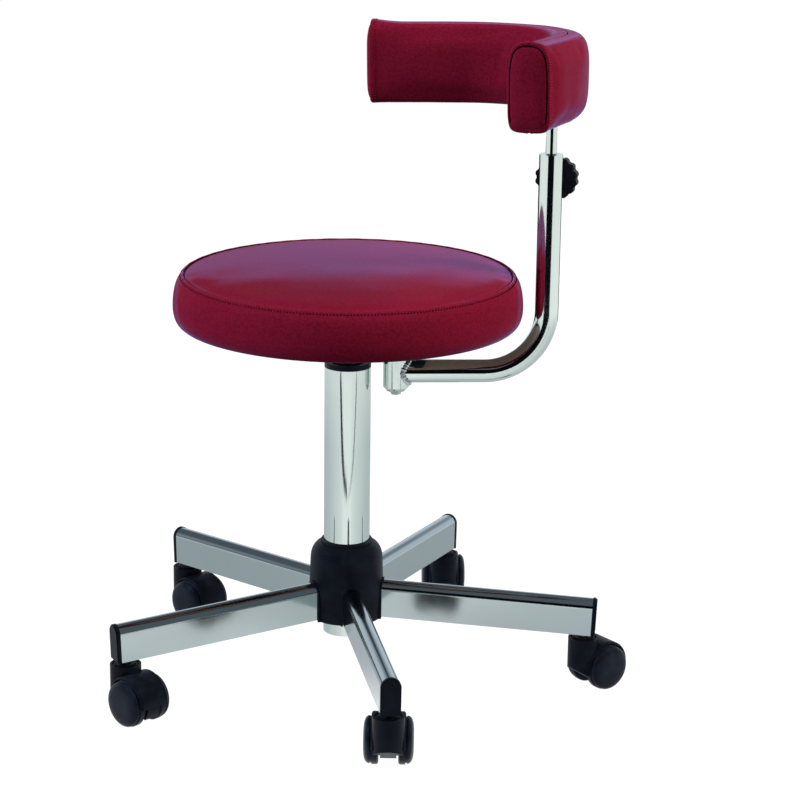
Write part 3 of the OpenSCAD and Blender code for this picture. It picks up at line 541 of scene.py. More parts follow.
def bead_row(
    name: str,
    line: Sequence[Vector],
    closed: bool,
    sizes: dict[str, float | int],
    facets: tuple[int, int],
    widths: Widths,
    material: Material,
) -> Thing:
    """Sets one rounded bead at each step of a line, by a geometry tree.

    Args:
        name: Name of the piece.
        line: Points of the line in metres.
        closed: Whether the line meets itself.
        sizes: Named inputs of the tree with their values; "Pitch" is the step.
        facets: Segments and rings of a bead.
        widths: Gives a bead's length along the line and its width from the tree's inputs.
        material: Finish of the beads.

    Returns:
        The row as one plain mesh.
    """
    tree = bpy.data.node_groups.new(name, "GeometryNodeTree")
    new_socket = tree.interface.new_socket
    new_socket(name="Line", in_out="INPUT", socket_type="NodeSocketGeometry")
    keys = {}
    for label, value in sizes.items():
        kind = "NodeSocketInt" if isinstance(value, int) else "NodeSocketFloat"
        keys[label] = new_socket(name=label, in_out="INPUT", socket_type=kind).identifier
    new_socket(name="Row", in_out="OUTPUT", socket_type="NodeSocketGeometry")
    graph = Graph(tree)
    inlet = graph.add("NodeGroupInput").outputs
    curve = graph.out("GeometryNodeMeshToCurve", "Curve", {"Mesh": inlet["Line"]})
    pitch = {"Curve": curve, "Length": inlet["Pitch"]}
    steps = graph.out("GeometryNodeResampleCurve", "Curve", pitch, mode="LENGTH")
    way = {"Vector": graph.out("GeometryNodeInputTangent", "Tangent")}
    turn = graph.out("FunctionNodeAlignRotationToVector", "Rotation", way, axis="X")
    ball = {"Segments": facets[0], "Rings": facets[1], "Radius": 0.5}
    bead = graph.out("GeometryNodeMeshUVSphere", "Mesh", ball)
    length, width = widths(graph, inlet)
    size = graph.out("ShaderNodeCombineXYZ", "Vector", {"X": length, "Y": width, "Z": width})
    laid = {"Points": steps, "Instance": bead, "Rotation": turn, "Scale": size}
    row = graph.out("GeometryNodeInstanceOnPoints", "Instances", laid)
    row = graph.out("GeometryNodeRealizeInstances", "Geometry", {"Geometry": row})
    row = graph.out("GeometryNodeSetShadeSmooth", "Geometry", {"Geometry": row})
    dressed = {"Geometry": row, "Material": material}
    row = graph.out("GeometryNodeSetMaterial", "Geometry", dressed)
    graph.add("NodeGroupOutput", {"Row": row})
    mesh = bpy.data.meshes.new(name)
    last = len(line) if closed else len(line) - 1
    mesh.from_pydata([tuple(p) for p in line], [(i, (i + 1) % len(line)) for i in range(last)], [])
    rail = link_object(name + "_line", mesh)
    beads = rail.modifiers.new("Row", "NODES")
    beads.node_group = tree
    for label, value in sizes.items():
        beads[keys[label]] = value
    return plain_mesh(rail, name)


@dataclass
class SewingLine:
    """A row of stitches along a seam, or of dark beads that stand for the shade in the holes that
    the needle leaves.
    """

    pitch_mm: float = 3.4
    length_mm: float = 2.3
    thread_mm: float = 0.7

    @staticmethod
    def stitch(_: Graph, key: Sockets) -> tuple[Socket, Socket]:
        """Gives a stitch's length and width from the row's named inputs."""
        return key["Stitch length"], key["Thread"]

    def sew(self, name: str, line: Sequence[Vector], closed: bool, material: Material) -> Thing:
        """Sews the row.

        Args:
            name: Name of the piece.
            line: Points of the line in metres.
            closed: Whether the line meets itself.
            material: Finish of the stitches.

        Returns:
            The stitches as one plain mesh.
        """
        sizes = {
            "Pitch": self.pitch_mm * MM,
            "Stitch length": self.length_mm * MM,
            "Thread": self.thread_mm * MM,
        }
        return bead_row(name, line, closed, sizes, (8, 6), self.stitch, material)


@dataclass
class Stuffing:
    """Swells a closed shape as foam swells its cover, by a cloth simulation."""

    voxel: float = 0.005
    pressure: float = 4.0
    frames: int = 20
    reach: float = 0.005

    def swell(self, start: Thing) -> Thing:
        """Simulates the cover of a cushion.

        Args:
            start: Closed shape, a little smaller than the cushion; it is removed.

        Returns:
            The swollen cover as a plain mesh.
        """
        remesh = start.modifiers.new("Even mesh", "REMESH")
        remesh.mode = "VOXEL"
        remesh.voxel_size = self.voxel
        cover = plain_mesh(start, start.name + "_cover")
        rest = [v.co.copy() for v in cover.data.vertices]
        cloth = cover.modifiers.new("Cloth", "CLOTH")
        cloth.settings.use_pressure = True
        cloth.settings.uniform_pressure_force = self.pressure
        cloth.settings.effector_weights.gravity = 0
        scene = bpy.context.scene
        for step in range(1, self.frames + 1):
            scene.frame_set(step)
        swollen = plain_mesh(cover, cover.name.replace("_cover", "_swollen"))
        for v, home in zip(swollen.data.vertices, rest):
            move = v.co - home
            if move.length > self.reach:
                v.co = home + move.normalized() * self.reach
        scene.frame_set(1)
        return swollen


def surface_of(thing: Thing) -> BVHTree:
    """Makes a search tree of an object's surface.

    Args:
        thing: A plain mesh object at the origin.

    Returns:
        The search tree.
    """
    mesh = thing.data
    return BVHTree.FromPolygons(
        [v.co.copy() for v in mesh.vertices], [tuple(p.vertices) for p in mesh.polygons]
    )


def grid_faces(rows: int, cols: int) -> list[tuple[int, ...]]:
    """Gives the faces between rings of points, each of which closes on itself.

    Args:
        rows: Number of rings.
        cols: Points in each ring.

    Returns:
        Corner numbers of each face, ring by ring.
    """
    n = cols
    return [
        (i * n + j, i * n + (j + 1) % n, (i + 1) * n + (j + 1) % n, (i + 1) * n + j)
        for i in range(rows - 1)
        for j in range(n)
    ]


def around(r: float, a: float, z: float) -> Vector:
    """Gives the point at a radius, an angle and a height about the seat's axis."""
    return Vector((r * math.cos(a), r * math.sin(a), z))


def hump(mm: float, height: float, middle: float, width: float) -> float:
    """Gives the height at a distance of a smooth swelling, or of a groove if height is negative."""
    return height * math.exp(-(((mm - middle) / width) ** 2))


def find_skin(skin: BVHTree, at: Vector, out: Vector, reach: float) -> Vector | None:
    """Finds where a surface crosses a line through a point.

    Args:
        skin: Search tree of the surface.
        at: The point.
        out: Direction of the line, outwards.
        reach: How far to look on either side.

    Returns:
        The crossing that lies furthest out, or None.
    """
    return skin.ray_cast(at + out * reach, -out, 2 * reach)[0]


def relax(values: list[list[float]], rounds: int) -> list[list[float]]:
    """Smooths a closed grid of numbers by rows and columns.

    Args:
        values: Rows of numbers; each row closes on itself.
        rounds: How often to smooth.

    Returns:
        The smoothed grid.
    """
    for _ in range(rounds):
        rows, cols = len(values), len(values[0])
        values = [
            [
                0.5 * values[i][j]
                + 0.125 * (values[i][j - 1] + values[i][(j + 1) % cols])
                + 0.125 * (values[max(i - 1, 0)][j] + values[min(i + 1, rows - 1)][j])
                for j in range(cols)
            ]
            for i in range(rows)
        ]
    return values


@dataclass
class SeatCushion:
    """Round seat cushion: a crowned top panel sewn to a full side band."""

    base_z: float = 0.4032
    side_r: float = 0.1855
    side_z: float = 0.4205
    seam_r: float = 0.1735
    seam_z: float = 0.454
    crown: float = 0.008
    foot_r: float = 0.178
    inset: float = 0.0022
    turns: int = 224
    top_rings: int = 34
    side_rings: int = 30
    lower_rings: int = 18
    foot_rings: int = 5
    reach: float = 0.03
    most_in: float = 0.0025
    most_out: float = 0.0015
    stitch_drop: float = 0.0036

    def profile(self) -> list[tuple[float, float]]:
        """Gives the cushion's outline from the middle of its top to the middle of its underside."""
        line = []
        for k in range(self.top_rings):
            t = 1 - (1 - k / self.top_rings) ** 1.6
            line.append((self.seam_r * t, self.seam_z + self.crown * (1 - t**3)))
        for k in range(self.side_rings):
            a = math.radians(90 * k / self.side_rings)
            r = self.seam_r + (self.side_r - self.seam_r) * math.sin(a)
            line.append((r, self.side_z + (self.seam_z - self.side_z) * math.cos(a)))
        for k in range(self.lower_rings + 1):
            a = math.radians(90 * k / self.lower_rings)
            r = self.foot_r + (self.side_r - self.foot_r) * math.cos(a)
            line.append((r, self.side_z - (self.side_z - self.base_z) * math.sin(a)))
        n = self.foot_rings
        line += [(self.foot_r * (1 - k / n), self.base_z) for k in range(1, n + 1)]
        return line

    def angle(self, j: int) -> float:
        """Gives the angle of a ring's point by its number."""
        return 2 * math.pi * j / self.turns

    def revolve(
        self, name: str, line: Sequence[tuple[float, float]], offsets: list[list[Vector]] | None
    ) -> Thing:
        """Turns an outline about the seat's axis.

        Args:
            name: Name of the object.
            line: Radius and height of each ring, with the poles at its ends.
            offsets: Moves of each ring's points, or None.

        Returns:
            A closed mesh object.
        """
        points: list[Vector] = []
        for i, (r, z) in enumerate(line):
            for j in range(self.turns):
                p = around(r, self.angle(j), z)
                points.append(p + offsets[i][j] if offsets else p)
        return mesh_object(name, points, grid_faces(len(line), self.turns), None)

    def normals(self, line: Sequence[tuple[float, float]]) -> list[tuple[float, float]]:
        """Gives the outward direction at each ring as a radius and height.

        Args:
            line: The outline.

        Returns:
            One unit direction for each ring.
        """
        out = []
        for i in range(len(line)):
            a, b = line[max(i - 1, 0)], line[min(i + 1, len(line) - 1)]
            dr, dz = b[0] - a[0], b[1] - a[1]
            size = math.hypot(dr, dz) or 1.0
            out.append((-dz / size, dr / size))
        return out

    def build(self, finishes: Finishes) -> Thing:
        """Makes the cushion from its swollen cover, with its seam drawn in.

        Args:
            finishes: The stool's finishes.

        Returns:
            The finished cushion.
        """
        line = self.profile()
        ways = self.normals(line)
        small = [
            (max(r - self.inset * wr, 0.0), z - self.inset * wz)
            for (r, z), (wr, wz) in zip(line, ways)
        ]
        cover = Stuffing().swell(self.revolve("seat_start", small, None))
        skin = surface_of(cover)
        lifts: list[list[float]] = []
        for (r, z), (wr, wz) in zip(line, ways):
            row = []
            for a in map(self.angle, range(self.turns)):
                out, at = around(wr, a, wz), around(r, a, z)
                hit = find_skin(skin, at, out, self.reach)
                lift = (hit - at).dot(out) if hit else 0.0
                row.append(max(-self.most_in, min(self.most_out, lift)))
            lifts.append(row)
        bpy.data.objects.remove(cover)
        lifts = relax(lifts, 6)
        # The side band swells evenly all over, so only the difference from its mean shows
        band = lifts[self.top_rings : self.top_rings + self.side_rings - 4]
        mean = sum(map(sum, band)) / (len(band) * self.turns)
        offsets: list[list[Vector]] = []
        for i, ((r, z), (wr, wz)) in enumerate(zip(line, ways)):
            along = math.hypot(r - self.seam_r, z - self.seam_z)
            above = i < self.top_rings
            if z < self.base_z + 0.001:
                offsets.append([Vector()] * self.turns)
                continue
            calm = 0.5 * (r / self.seam_r) ** 8 if above else 0.9
            row = []
            for j in range(self.turns):
                a = self.angle(j)
                lift = (lifts[i][j] - (0.0 if above else mean)) * calm
                row.append(around(wr, a, wz) * (lift + self.seam_shape(along, above, a)))
            offsets.append(row)
        piece = self.revolve("seat_cushion_cover", line, offsets)
        piece.data.materials.append(finishes.made[Finish.LEATHERETTE])
        piece.data.materials.append(finishes.made[Finish.SEAM_SHADE])
        # Painted shade: the faces of the seam's groove get the dark seam finish
        for ring in (self.top_rings - 1, self.top_rings):
            for face in piece.data.polygons[ring * self.turns : (ring + 1) * self.turns]:
                face.material_index = 1
        return subdivided(piece)

    def seam_shape(self, along: float, above: bool, a: float) -> float:
        """Gives how far the cover stands out near the seam.

        Args:
            along: Distance from the seam over the surface.
            above: Whether the place is on the top panel.
            a: Angle round the seat.

        Returns:
            The lift in metres.
        """
        mm = along / MM
        lift = hump(mm, -1.0, 0.0, 0.9)
        if above:
            lift += hump(mm, 0.55, 2.4, 1.5) + hump(mm, -0.25, 9.0, 6.0)
        else:
            lift += hump(mm, 0.7, 2.0, 1.2) + hump(mm, -0.5, 6.5, 3.0)
            lift += 0.16 * math.sin(47 * a + 2.0 * math.sin(5 * a)) * math.exp(-mm / 9)
        r = max(self.seam_r - along, 0.0) if above else self.seam_r
        drift = 0.35 * noise.noise(around(17 * r, a, 0 if above else mm / 40))
        return (lift + drift * min(mm / 12, 1)) * MM

    def seam_line(self, piece: Thing, drop: float, lift: float) -> list[Vector]:
        """Finds a line on the cover beside the seam.

        Args:
            piece: The finished cushion.
            drop: Distance below the seam.
            lift: Distance out of the surface.

        Returns:
            Points of the line.
        """
        skin = surface_of(piece)
        line = []
        for j in range(720):
            a = math.radians(j / 2)
            out = around(1.0, a, 0.35).normalized()
            at = around(self.seam_r, a, self.seam_z - drop)
            hit = find_skin(skin, at, out, 0.02)
            line.append((hit or at) + out * lift)
        return line

    def dress(self, finishes: Finishes) -> list[Thing]:
        """Makes the cushion with its stitches and puts them on the seat.

        Args:
            finishes: The stool's finishes.

        Returns:
            The pieces.
        """
        cushion = self.build(finishes)
        thread, dark = finishes.made[Finish.THREAD], finishes.made[Finish.SEAM_SHADE]
        line = self.seam_line(cushion, self.stitch_drop, 0.00002)
        stitches = SewingLine().sew("seat_stitches", line, True, thread)
        # Painted shade: dark beads set a little into the cover stand for the shade in the needle
        # holes
        line = self.seam_line(cushion, self.stitch_drop, -0.00012)
        holes = SewingLine(length_mm=2.0, thread_mm=1.6)
        pricks = holes.sew("seat_needle_holes", line[2:] + line[:2], True, dark)
        for piece in (cushion, stitches, pricks):
            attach(piece, "seat")
        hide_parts("seat_cushion")
        return [cushion, stitches, pricks]


@dataclass
class BackCushion:
    """Curved back cushion: two straight runs joined by a bend, with sewn end panels."""

    rod: tuple[float, float] = (-0.005584, 0.211403)
    turn: float = math.radians(30)
    roll: float = math.radians(2)
    mid_z: float = 0.6735
    thick: float = 0.044
    high: float = 0.085
    bend_r: float = 0.112
    bend_half: float = math.radians(53.5)
    leg: float = 0.098
    rod_back: float = 0.008
    end_bulge: float = 0.003
    edge: float = 0.0027
    inset: float = 0.0025
    body_rings: int = 150
    upper_power: float = 0.42
    lower_power: float = 0.34
    reach: float = 0.02
    most_lift: float = 0.003
    body_draw: float = 0.003
    groove: tuple[float, float] = (0.0034, 0.0042)
    groove_top: float = 0.0045
    open_sine: float = -0.6
    panel_out: float = 0.0012
    panel_draw: float = 0.0055
    seam_back: float = 0.0058
    seam_off_mm: float = 0.5

    @property
    def arc(self) -> float:
        """Length of half the bend along the middle line."""
        return self.bend_r * self.bend_half

    @property
    def half(self) -> float:
        """Length of half the cushion along the middle line."""
        return self.arc + self.leg

    def to_row(self, p: Vector) -> Vector:
        """Turns a point of the cushion's own frame into the stool's frame.

        Args:
            p: Point with X towards the near end and Y away from the sitter.

        Returns:
            The point in the stool's frame.
        """
        lean = Matrix.Rotation(-self.roll, 3, "Y")
        q = lean @ Vector((p.x, p.y, p.z - self.mid_z))
        q = Matrix.Rotation(self.turn, 3, "Z") @ q
        return Vector((q.x + self.rod[0], q.y + self.rod[1], q.z + self.mid_z))

    def heading(self, u: float) -> float:
        """Gives the turn of the middle line at a distance from the cushion's middle."""
        return max(-self.bend_half, min(self.bend_half, u / self.bend_r))

    def middle(self, u: float, off: float, rise: float) -> Vector:
        """Gives a point beside the middle line.

        Args:
            u: Distance along the middle line.
            off: Distance outwards, away from the sitter.
            rise: Height above the cushion's middle.

        Returns:
            The point in the cushion's own frame.
        """
        a = self.heading(u)
        extra = u - math.copysign(self.arc, u) if abs(u) > self.arc else 0.0
        r = self.bend_r + off
        x = r * math.sin(a) + extra * math.cos(a)
        y = r * math.cos(a) - self.bend_r - self.rod_back - extra * math.sin(a)
        return Vector((x, y, self.mid_z + rise))

    def section(self, a: float, shrink: float, u: float) -> tuple[float, float]:
        """Gives a point of the cushion's section, rounder outside the bend and crowned at the ends.

        Args:
            a: Angle round the section, from the outer face upwards.
            shrink: How far the section is drawn in.
            u: Place along the middle line.

        Returns:
            Distance outwards and height.
        """
        half_t = max(self.thick / 2 - shrink * 0.8, 0.0)
        half_h = max(self.high / 2 - shrink, 0.0)
        c, s = math.cos(a), math.sin(a)
        bend = max(0.0, 1 - (u / self.arc / 1.15) ** 2)
        end = max(0.0, min(1.0, 1 - (self.half - abs(u)) / 0.03))
        power = self.upper_power + 0.14 * end if s > 0 else self.lower_power
        if c > 0:
            power += bend * (0.14 if s > 0 else 0.36)
        crown = 0.0028 * end * max(s, 0.0) ** 3 * max(0.0, 1 - shrink / 0.02)
        out = half_t * math.copysign(abs(c) ** power, c)
        return out, half_h * math.copysign(abs(s) ** power, s) + crown

    def section_angles(self) -> list[float]:
        """Gives the angles round the section, closer where the seams and corners are."""
        rise = [0.0, 0.3, 1.2, 3, 6, 10, 15, 20, 28, 35, 40, 45, 50, 55, 62]
        seam = [14, 10, 7, 5, 3.7, 2.6, 1.8, 1.1, 0.5, -0.1, -0.8, -1.6, -2.7, -4, -8, -12]
        half_t = self.thick / 2 / MM
        over = []
        for x in seam:
            cosine = math.copysign(abs(x / half_t) ** (1 / self.upper_power), x)
            over.append(math.degrees(math.acos(cosine)))
        upper = rise + over + [180 - a for a in reversed(rise)]
        lower = [-a for a in reversed(upper[1:-1])]
        return [math.radians(a) for a in upper + lower]

    def stations(self) -> list[tuple[float, float]]:
        """Gives the rings as a place along the middle line and a draw-in, from end to end."""
        reach = self.half - self.edge
        steps = self.body_rings
        body = [(-reach + 2 * reach * k / steps, 0.0) for k in range(steps + 1)]
        cap = []
        for k in range(1, 5):
            a = math.radians(90 * k / 4)
            cap.append((reach + self.edge * math.sin(a), self.edge * (1 - math.cos(a))))
        groove = ((-0.0004, 0.0031), (-0.0018, 0.0035), (-0.0018, 0.0039), (0.0001, 0.0044))
        cap += [(self.half + out, draw) for out, draw in groove]
        cap.append((self.half + self.panel_out, self.panel_draw))
        for k in range(1, 10):
            t = k / 9
            bulge = self.end_bulge * math.sin(math.pi / 2 * t) ** 0.8
            cap.append((self.half + self.panel_out + bulge, self.panel_draw + 0.0163 * t))
        return [(-u, d) for u, d in reversed(cap)] + body + cap

    def rings(
        self, stations: Sequence[tuple[float, float]], angles: Sequence[float], inset: float
    ) -> list[list[Vector]]:
        """Gives the points of the cover in the cushion's own frame.

        Args:
            stations: Places of the rings.
            angles: Angles round the section.
            inset: How much smaller the shape is.

        Returns:
            One list of points for each ring.
        """
        out = []
        for u, draw in stations:
            reach = self.half - inset
            place = max(-reach, min(reach, u)) if inset else u
            row = []
            for a in angles:
                off, rise = self.section(a, draw + inset, u)
                # The end panel's seam runs out at the underside
                in_groove = self.body_draw < draw < self.groove_top
                open_seam = in_groove and math.sin(a) < self.open_sine
                at = math.copysign(self.half + 0.0002, u) if open_seam else place
                row.append(self.middle(at, off, rise))
            out.append(row)
        return out

    def close(self, name: str, rings: Sequence[Sequence[Vector]]) -> Thing:
        """Joins rings into a closed mesh in the stool's frame.

        Args:
            name: Name of the object.
            rings: Points of the rings in the cushion's own frame.

        Returns:
            The mesh object.
        """
        n = len(rings[0])
        points = [self.to_row(p) for row in rings for p in row]
        faces = grid_faces(len(rings), n)
        faces += [tuple(range(n - 1, -1, -1)), tuple(range((len(rings) - 1) * n, len(rings) * n))]
        return mesh_object(name, points, faces, None)

    def build(self, finishes: Finishes) -> Thing:
        """Makes the cushion from its swollen cover, with its seams drawn in.

        Args:
            finishes: The stool's finishes.

        Returns:
            The finished cushion.
        """
        angles, stations = self.section_angles(), self.stations()
        coarse = [(-self.half + 2 * self.half * k / 60, 0.0) for k in range(61)]
        start = self.close("back_start", self.rings(coarse, angles, self.inset))
        cover = Stuffing(reach=0.006).swell(start)
        skin = surface_of(cover)
        rings = self.rings(stations, angles, 0.0)
        lifts: list[list[float]] = []
        for (u, draw), row in zip(stations, rings):
            heart = self.to_row(self.middle(u, 0.0, 0.0))
            line = []
            for p in row:
                at = self.to_row(p)
                rise = (at - heart).z
                flat = abs(rise) > 0.6 * self.high / 2
                core = self.to_row(self.middle(u, 0.0, rise * (0.75 if flat else 0.9)))
                out = (at - core).normalized()
                hit = find_skin(skin, at, out, self.reach)
                lift = (hit - at).dot(out) if hit and draw == 0.0 else 0.0
                line.append(max(-self.most_lift, min(self.most_lift, lift)))
            lifts.append(line)
        bpy.data.objects.remove(cover)
        lifts = relax(lifts, 5)
        body = [v for row in lifts[30:-30] for v in row]
        mean = sum(body) / len(body)
        for i, ((u, draw), row) in enumerate(zip(stations, rings)):
            fade = max(0.0, min(1.0, (self.half - 0.006 - abs(u)) / 0.012))
            heart = self.middle(u, 0.0, 0.0)
            for j, (a, p) in enumerate(zip(angles, row)):
                off, rise = self.section(a, draw, u)
                out = Vector(p) - (heart + Vector((0, 0, rise * 0.85)))
                out.normalize()
                lift = (lifts[i][j] - mean) * 0.8 * fade
                row[j] = p + out * (lift + self.seam_shape(u, draw, off, rise) * MM)
        piece = self.close("back_cushion_cover", rings)
        self.paint(piece, finishes, stations, angles)
        return subdivided(piece)

    def seam_shape(self, u: float, draw: float, off: float, rise: float) -> float:
        """Gives how far the cover stands out, in millimetres.

        Args:
            u: Place along the middle line.
            draw: Draw-in of the ring.
            off: Distance outwards in the section.
            rise: Height in the section.

        Returns:
            The lift in millimetres.
        """
        if draw > self.body_draw:
            return 0.0
        lift = 0.0
        flat = abs(rise) > 0.86 * self.high / 2
        if flat:
            mm = abs(off / MM - self.seam_off_mm)
            lift += hump(mm, -1.1, 0.0, 0.7) + hump(mm, 0.45, 2.2, 1.3)
        lift += hump((self.half - abs(u)) / MM, -0.35, 9.0, 3.5)
        wave = math.sin(u / MM / 5.2 + 2.1 * math.sin(u / MM / 23)) * (0.03 if flat else 0.0)
        dents = noise.noise(Vector((u * 22, off * 40, rise * 26))) * 0.4
        return lift + wave + dents

    def paint(
        self,
        piece: Thing,
        finishes: Finishes,
        stations: Sequence[tuple[float, float]],
        angles: Sequence[float],
    ) -> None:
        """Gives the cover its leatherette, painted shade in its seam grooves, and a black
        underside.

        Args:
            piece: The cover.
            finishes: The stool's finishes.
            stations: Places of the rings.
            angles: Angles round the section.
        """
        for finish in (Finish.BACK_LEATHERETTE, Finish.BLACK_UNDERSIDE, Finish.SEAM_SHADE):
            piece.data.materials.append(finishes.made[finish])
        n = len(angles)
        for i in range(len(stations) - 1):
            draw = (stations[i][1] + stations[i + 1][1]) / 2
            for j in range(n):
                a = (angles[j] + angles[(j + 1) % n]) / 2
                off = self.section(a, 0.0, 0.0)[0] / MM
                sine, beside = math.sin(a), abs(off - self.seam_off_mm)
                # Painted shade: faces in the end panels' seam grooves and along the top seam are
                # made dark
                round_end = self.groove[0] < draw < self.groove[1] and sine > self.open_sine
                if round_end or (draw < self.body_draw and sine > 0.9 and beside < 0.45):
                    piece.data.polygons[i * n + j].material_index = 2
        floor = self.mid_z - self.high / 2
        # Faces of the flat underside are made black
        for face in piece.data.polygons:
            if face.normal.z < -0.93 and face.center.z < floor + 0.009:
                face.material_index = 1

    def rim_line(self, end: int, back: float, drop: float) -> list[Vector]:
        """Gives a line round the section near one end, open at the underside.

        Args:
            end: 1 for the near end, -1 for the far end.
            back: Distance from the end.
            drop: Height of the line's two ends above the underside.

        Returns:
            Points of the line in the stool's frame.
        """
        u = end * (self.half - back)
        line = []
        for k in range(161):
            a = math.radians(-78 + 336 * k / 160)
            off, rise = self.section(a, 0.0, u)
            if rise > -self.high / 2 + drop:
                line.append(self.to_row(self.middle(u, off, rise)))
        return line

    def lay(self, piece: Thing, line: Iterable[Vector], lift: float) -> list[Vector]:
        """Lays a line on the cover.

        Args:
            piece: The finished cover.
            line: Points near the cover.
            lift: Distance out of the surface.

        Returns:
            Points on the cover.
        """
        skin = surface_of(piece)
        laid = []
        for p in line:
            near, way, _, _ = skin.find_nearest(p)
            laid.append(near + way * lift)
        return laid

    def dress(self, finishes: Finishes) -> list[Thing]:
        """Makes the cushion with its stitches and puts them on the backrest.

        Args:
            finishes: The stool's finishes.

        Returns:
            The pieces.
        """
        cushion = self.build(finishes)
        pieces = [cushion]
        row = SewingLine(pitch_mm=2.7, length_mm=1.9, thread_mm=0.6)
        holes = SewingLine(pitch_mm=2.7, length_mm=1.5, thread_mm=1.3)
        thread, dark = finishes.made[Finish.THREAD], finishes.made[Finish.SEAM_SHADE]
        for end, side in ((1, "near"), (-1, "far")):
            line = self.lay(cushion, self.rim_line(end, self.seam_back, 0.006), 0.00004)
            pieces.append(row.sew(f"back_stitches_{side}", line, False, thread))
            # Painted shade: dark beads set a little into the cover stand for the shade in the
            # needle holes
            line = self.lay(cushion, self.rim_line(end, self.seam_back, 0.0073), -0.0001)
            pieces.append(holes.sew(f"back_needle_holes_{side}", line, False, dark))
        for piece in pieces:
            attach(piece, "backrest")
        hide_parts("back_cushion")
        return pieces


@dataclass
class WeldBead:
    """The fillet weld that joins the back tube to its pivot tube."""

    pivot_y: float = 0.0515
    pivot_r: float = 0.014
    tube_r: float = 0.0125
    tube_z: float = 0.3473
    swing: float = math.radians(2)
    pitch_mm: float = 1.15
    bead_mm: float = 6.2
    unevenness: float = 0.25
    widest: float = 1.12
    ripple_share: float = 0.55
    seed: int = 7

    def line(self) -> list[Vector]:
        """Gives the line where the two tubes meet."""
        turn = Matrix.Rotation(self.swing, 3, "Z")
        points = []
        for k in range(180):
            a = math.radians(2 * k)
            x, z = self.tube_r * math.cos(a), self.tube_r * math.sin(a)
            y = math.sqrt(self.pivot_r**2 - min(x * x, (0.98 * self.pivot_r) ** 2)) + 0.0003
            p = turn @ Vector((x * 1.02, y, z * 1.02))
            points.append(Vector((p.x, p.y + self.pivot_y, p.z + self.tube_z)))
        return points

    def ripple(self, graph: Graph, key: Sockets) -> tuple[Socket, Socket]:
        """Gives the size of one ripple of weld metal, each a little different.

        Args:
            graph: The row's tree.
            key: Its named inputs.

        Returns:
            Length along the weld and width across it.
        """
        least = graph.maths("SUBTRACT", 1.0, key["Unevenness"])
        limits = {2: least, 3: self.widest, "Seed": key["Seed"]}
        chance = graph.out("FunctionNodeRandomValue", 1, limits, data_type="FLOAT")
        size = graph.maths("MULTIPLY", chance, key["Bead width"])
        return graph.maths("MULTIPLY", size, self.ripple_share), size

    def dress(self, finishes: Finishes) -> list[Thing]:
        """Lays the weld and puts it on the back arm.

        Args:
            finishes: The stool's finishes.

        Returns:
            The weld.
        """
        sizes = {
            "Pitch": self.pitch_mm * MM,
            "Bead width": self.bead_mm * MM,
            "Unevenness": self.unevenness,
            "Seed": self.seed,
        }
        metal = finishes.made[Finish.WELD]
        piece = bead_row("pivot_weld", self.line(), True, sizes, (14, 8), self.ripple, metal)
        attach(piece, "back_arm")
        return [piece]


@dataclass
class MetalFrame:
    """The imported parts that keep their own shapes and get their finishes."""

    nodes: dict[str, Thing]
    record: dict

    def dress(self, finishes: Finishes) -> list[Thing]:
        """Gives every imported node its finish.

        Args:
            finishes: The stool's finishes.

        Returns:
            The dressed nodes.
        """
        slots = {s["node"]: s["material_slot"] for s in self.record["subparts"]}
        for name, node in self.nodes.items():
            node.data.materials.clear()
            node.data.materials.append(finishes.for_node(name, slots[name]))
        return list(self.nodes.values())


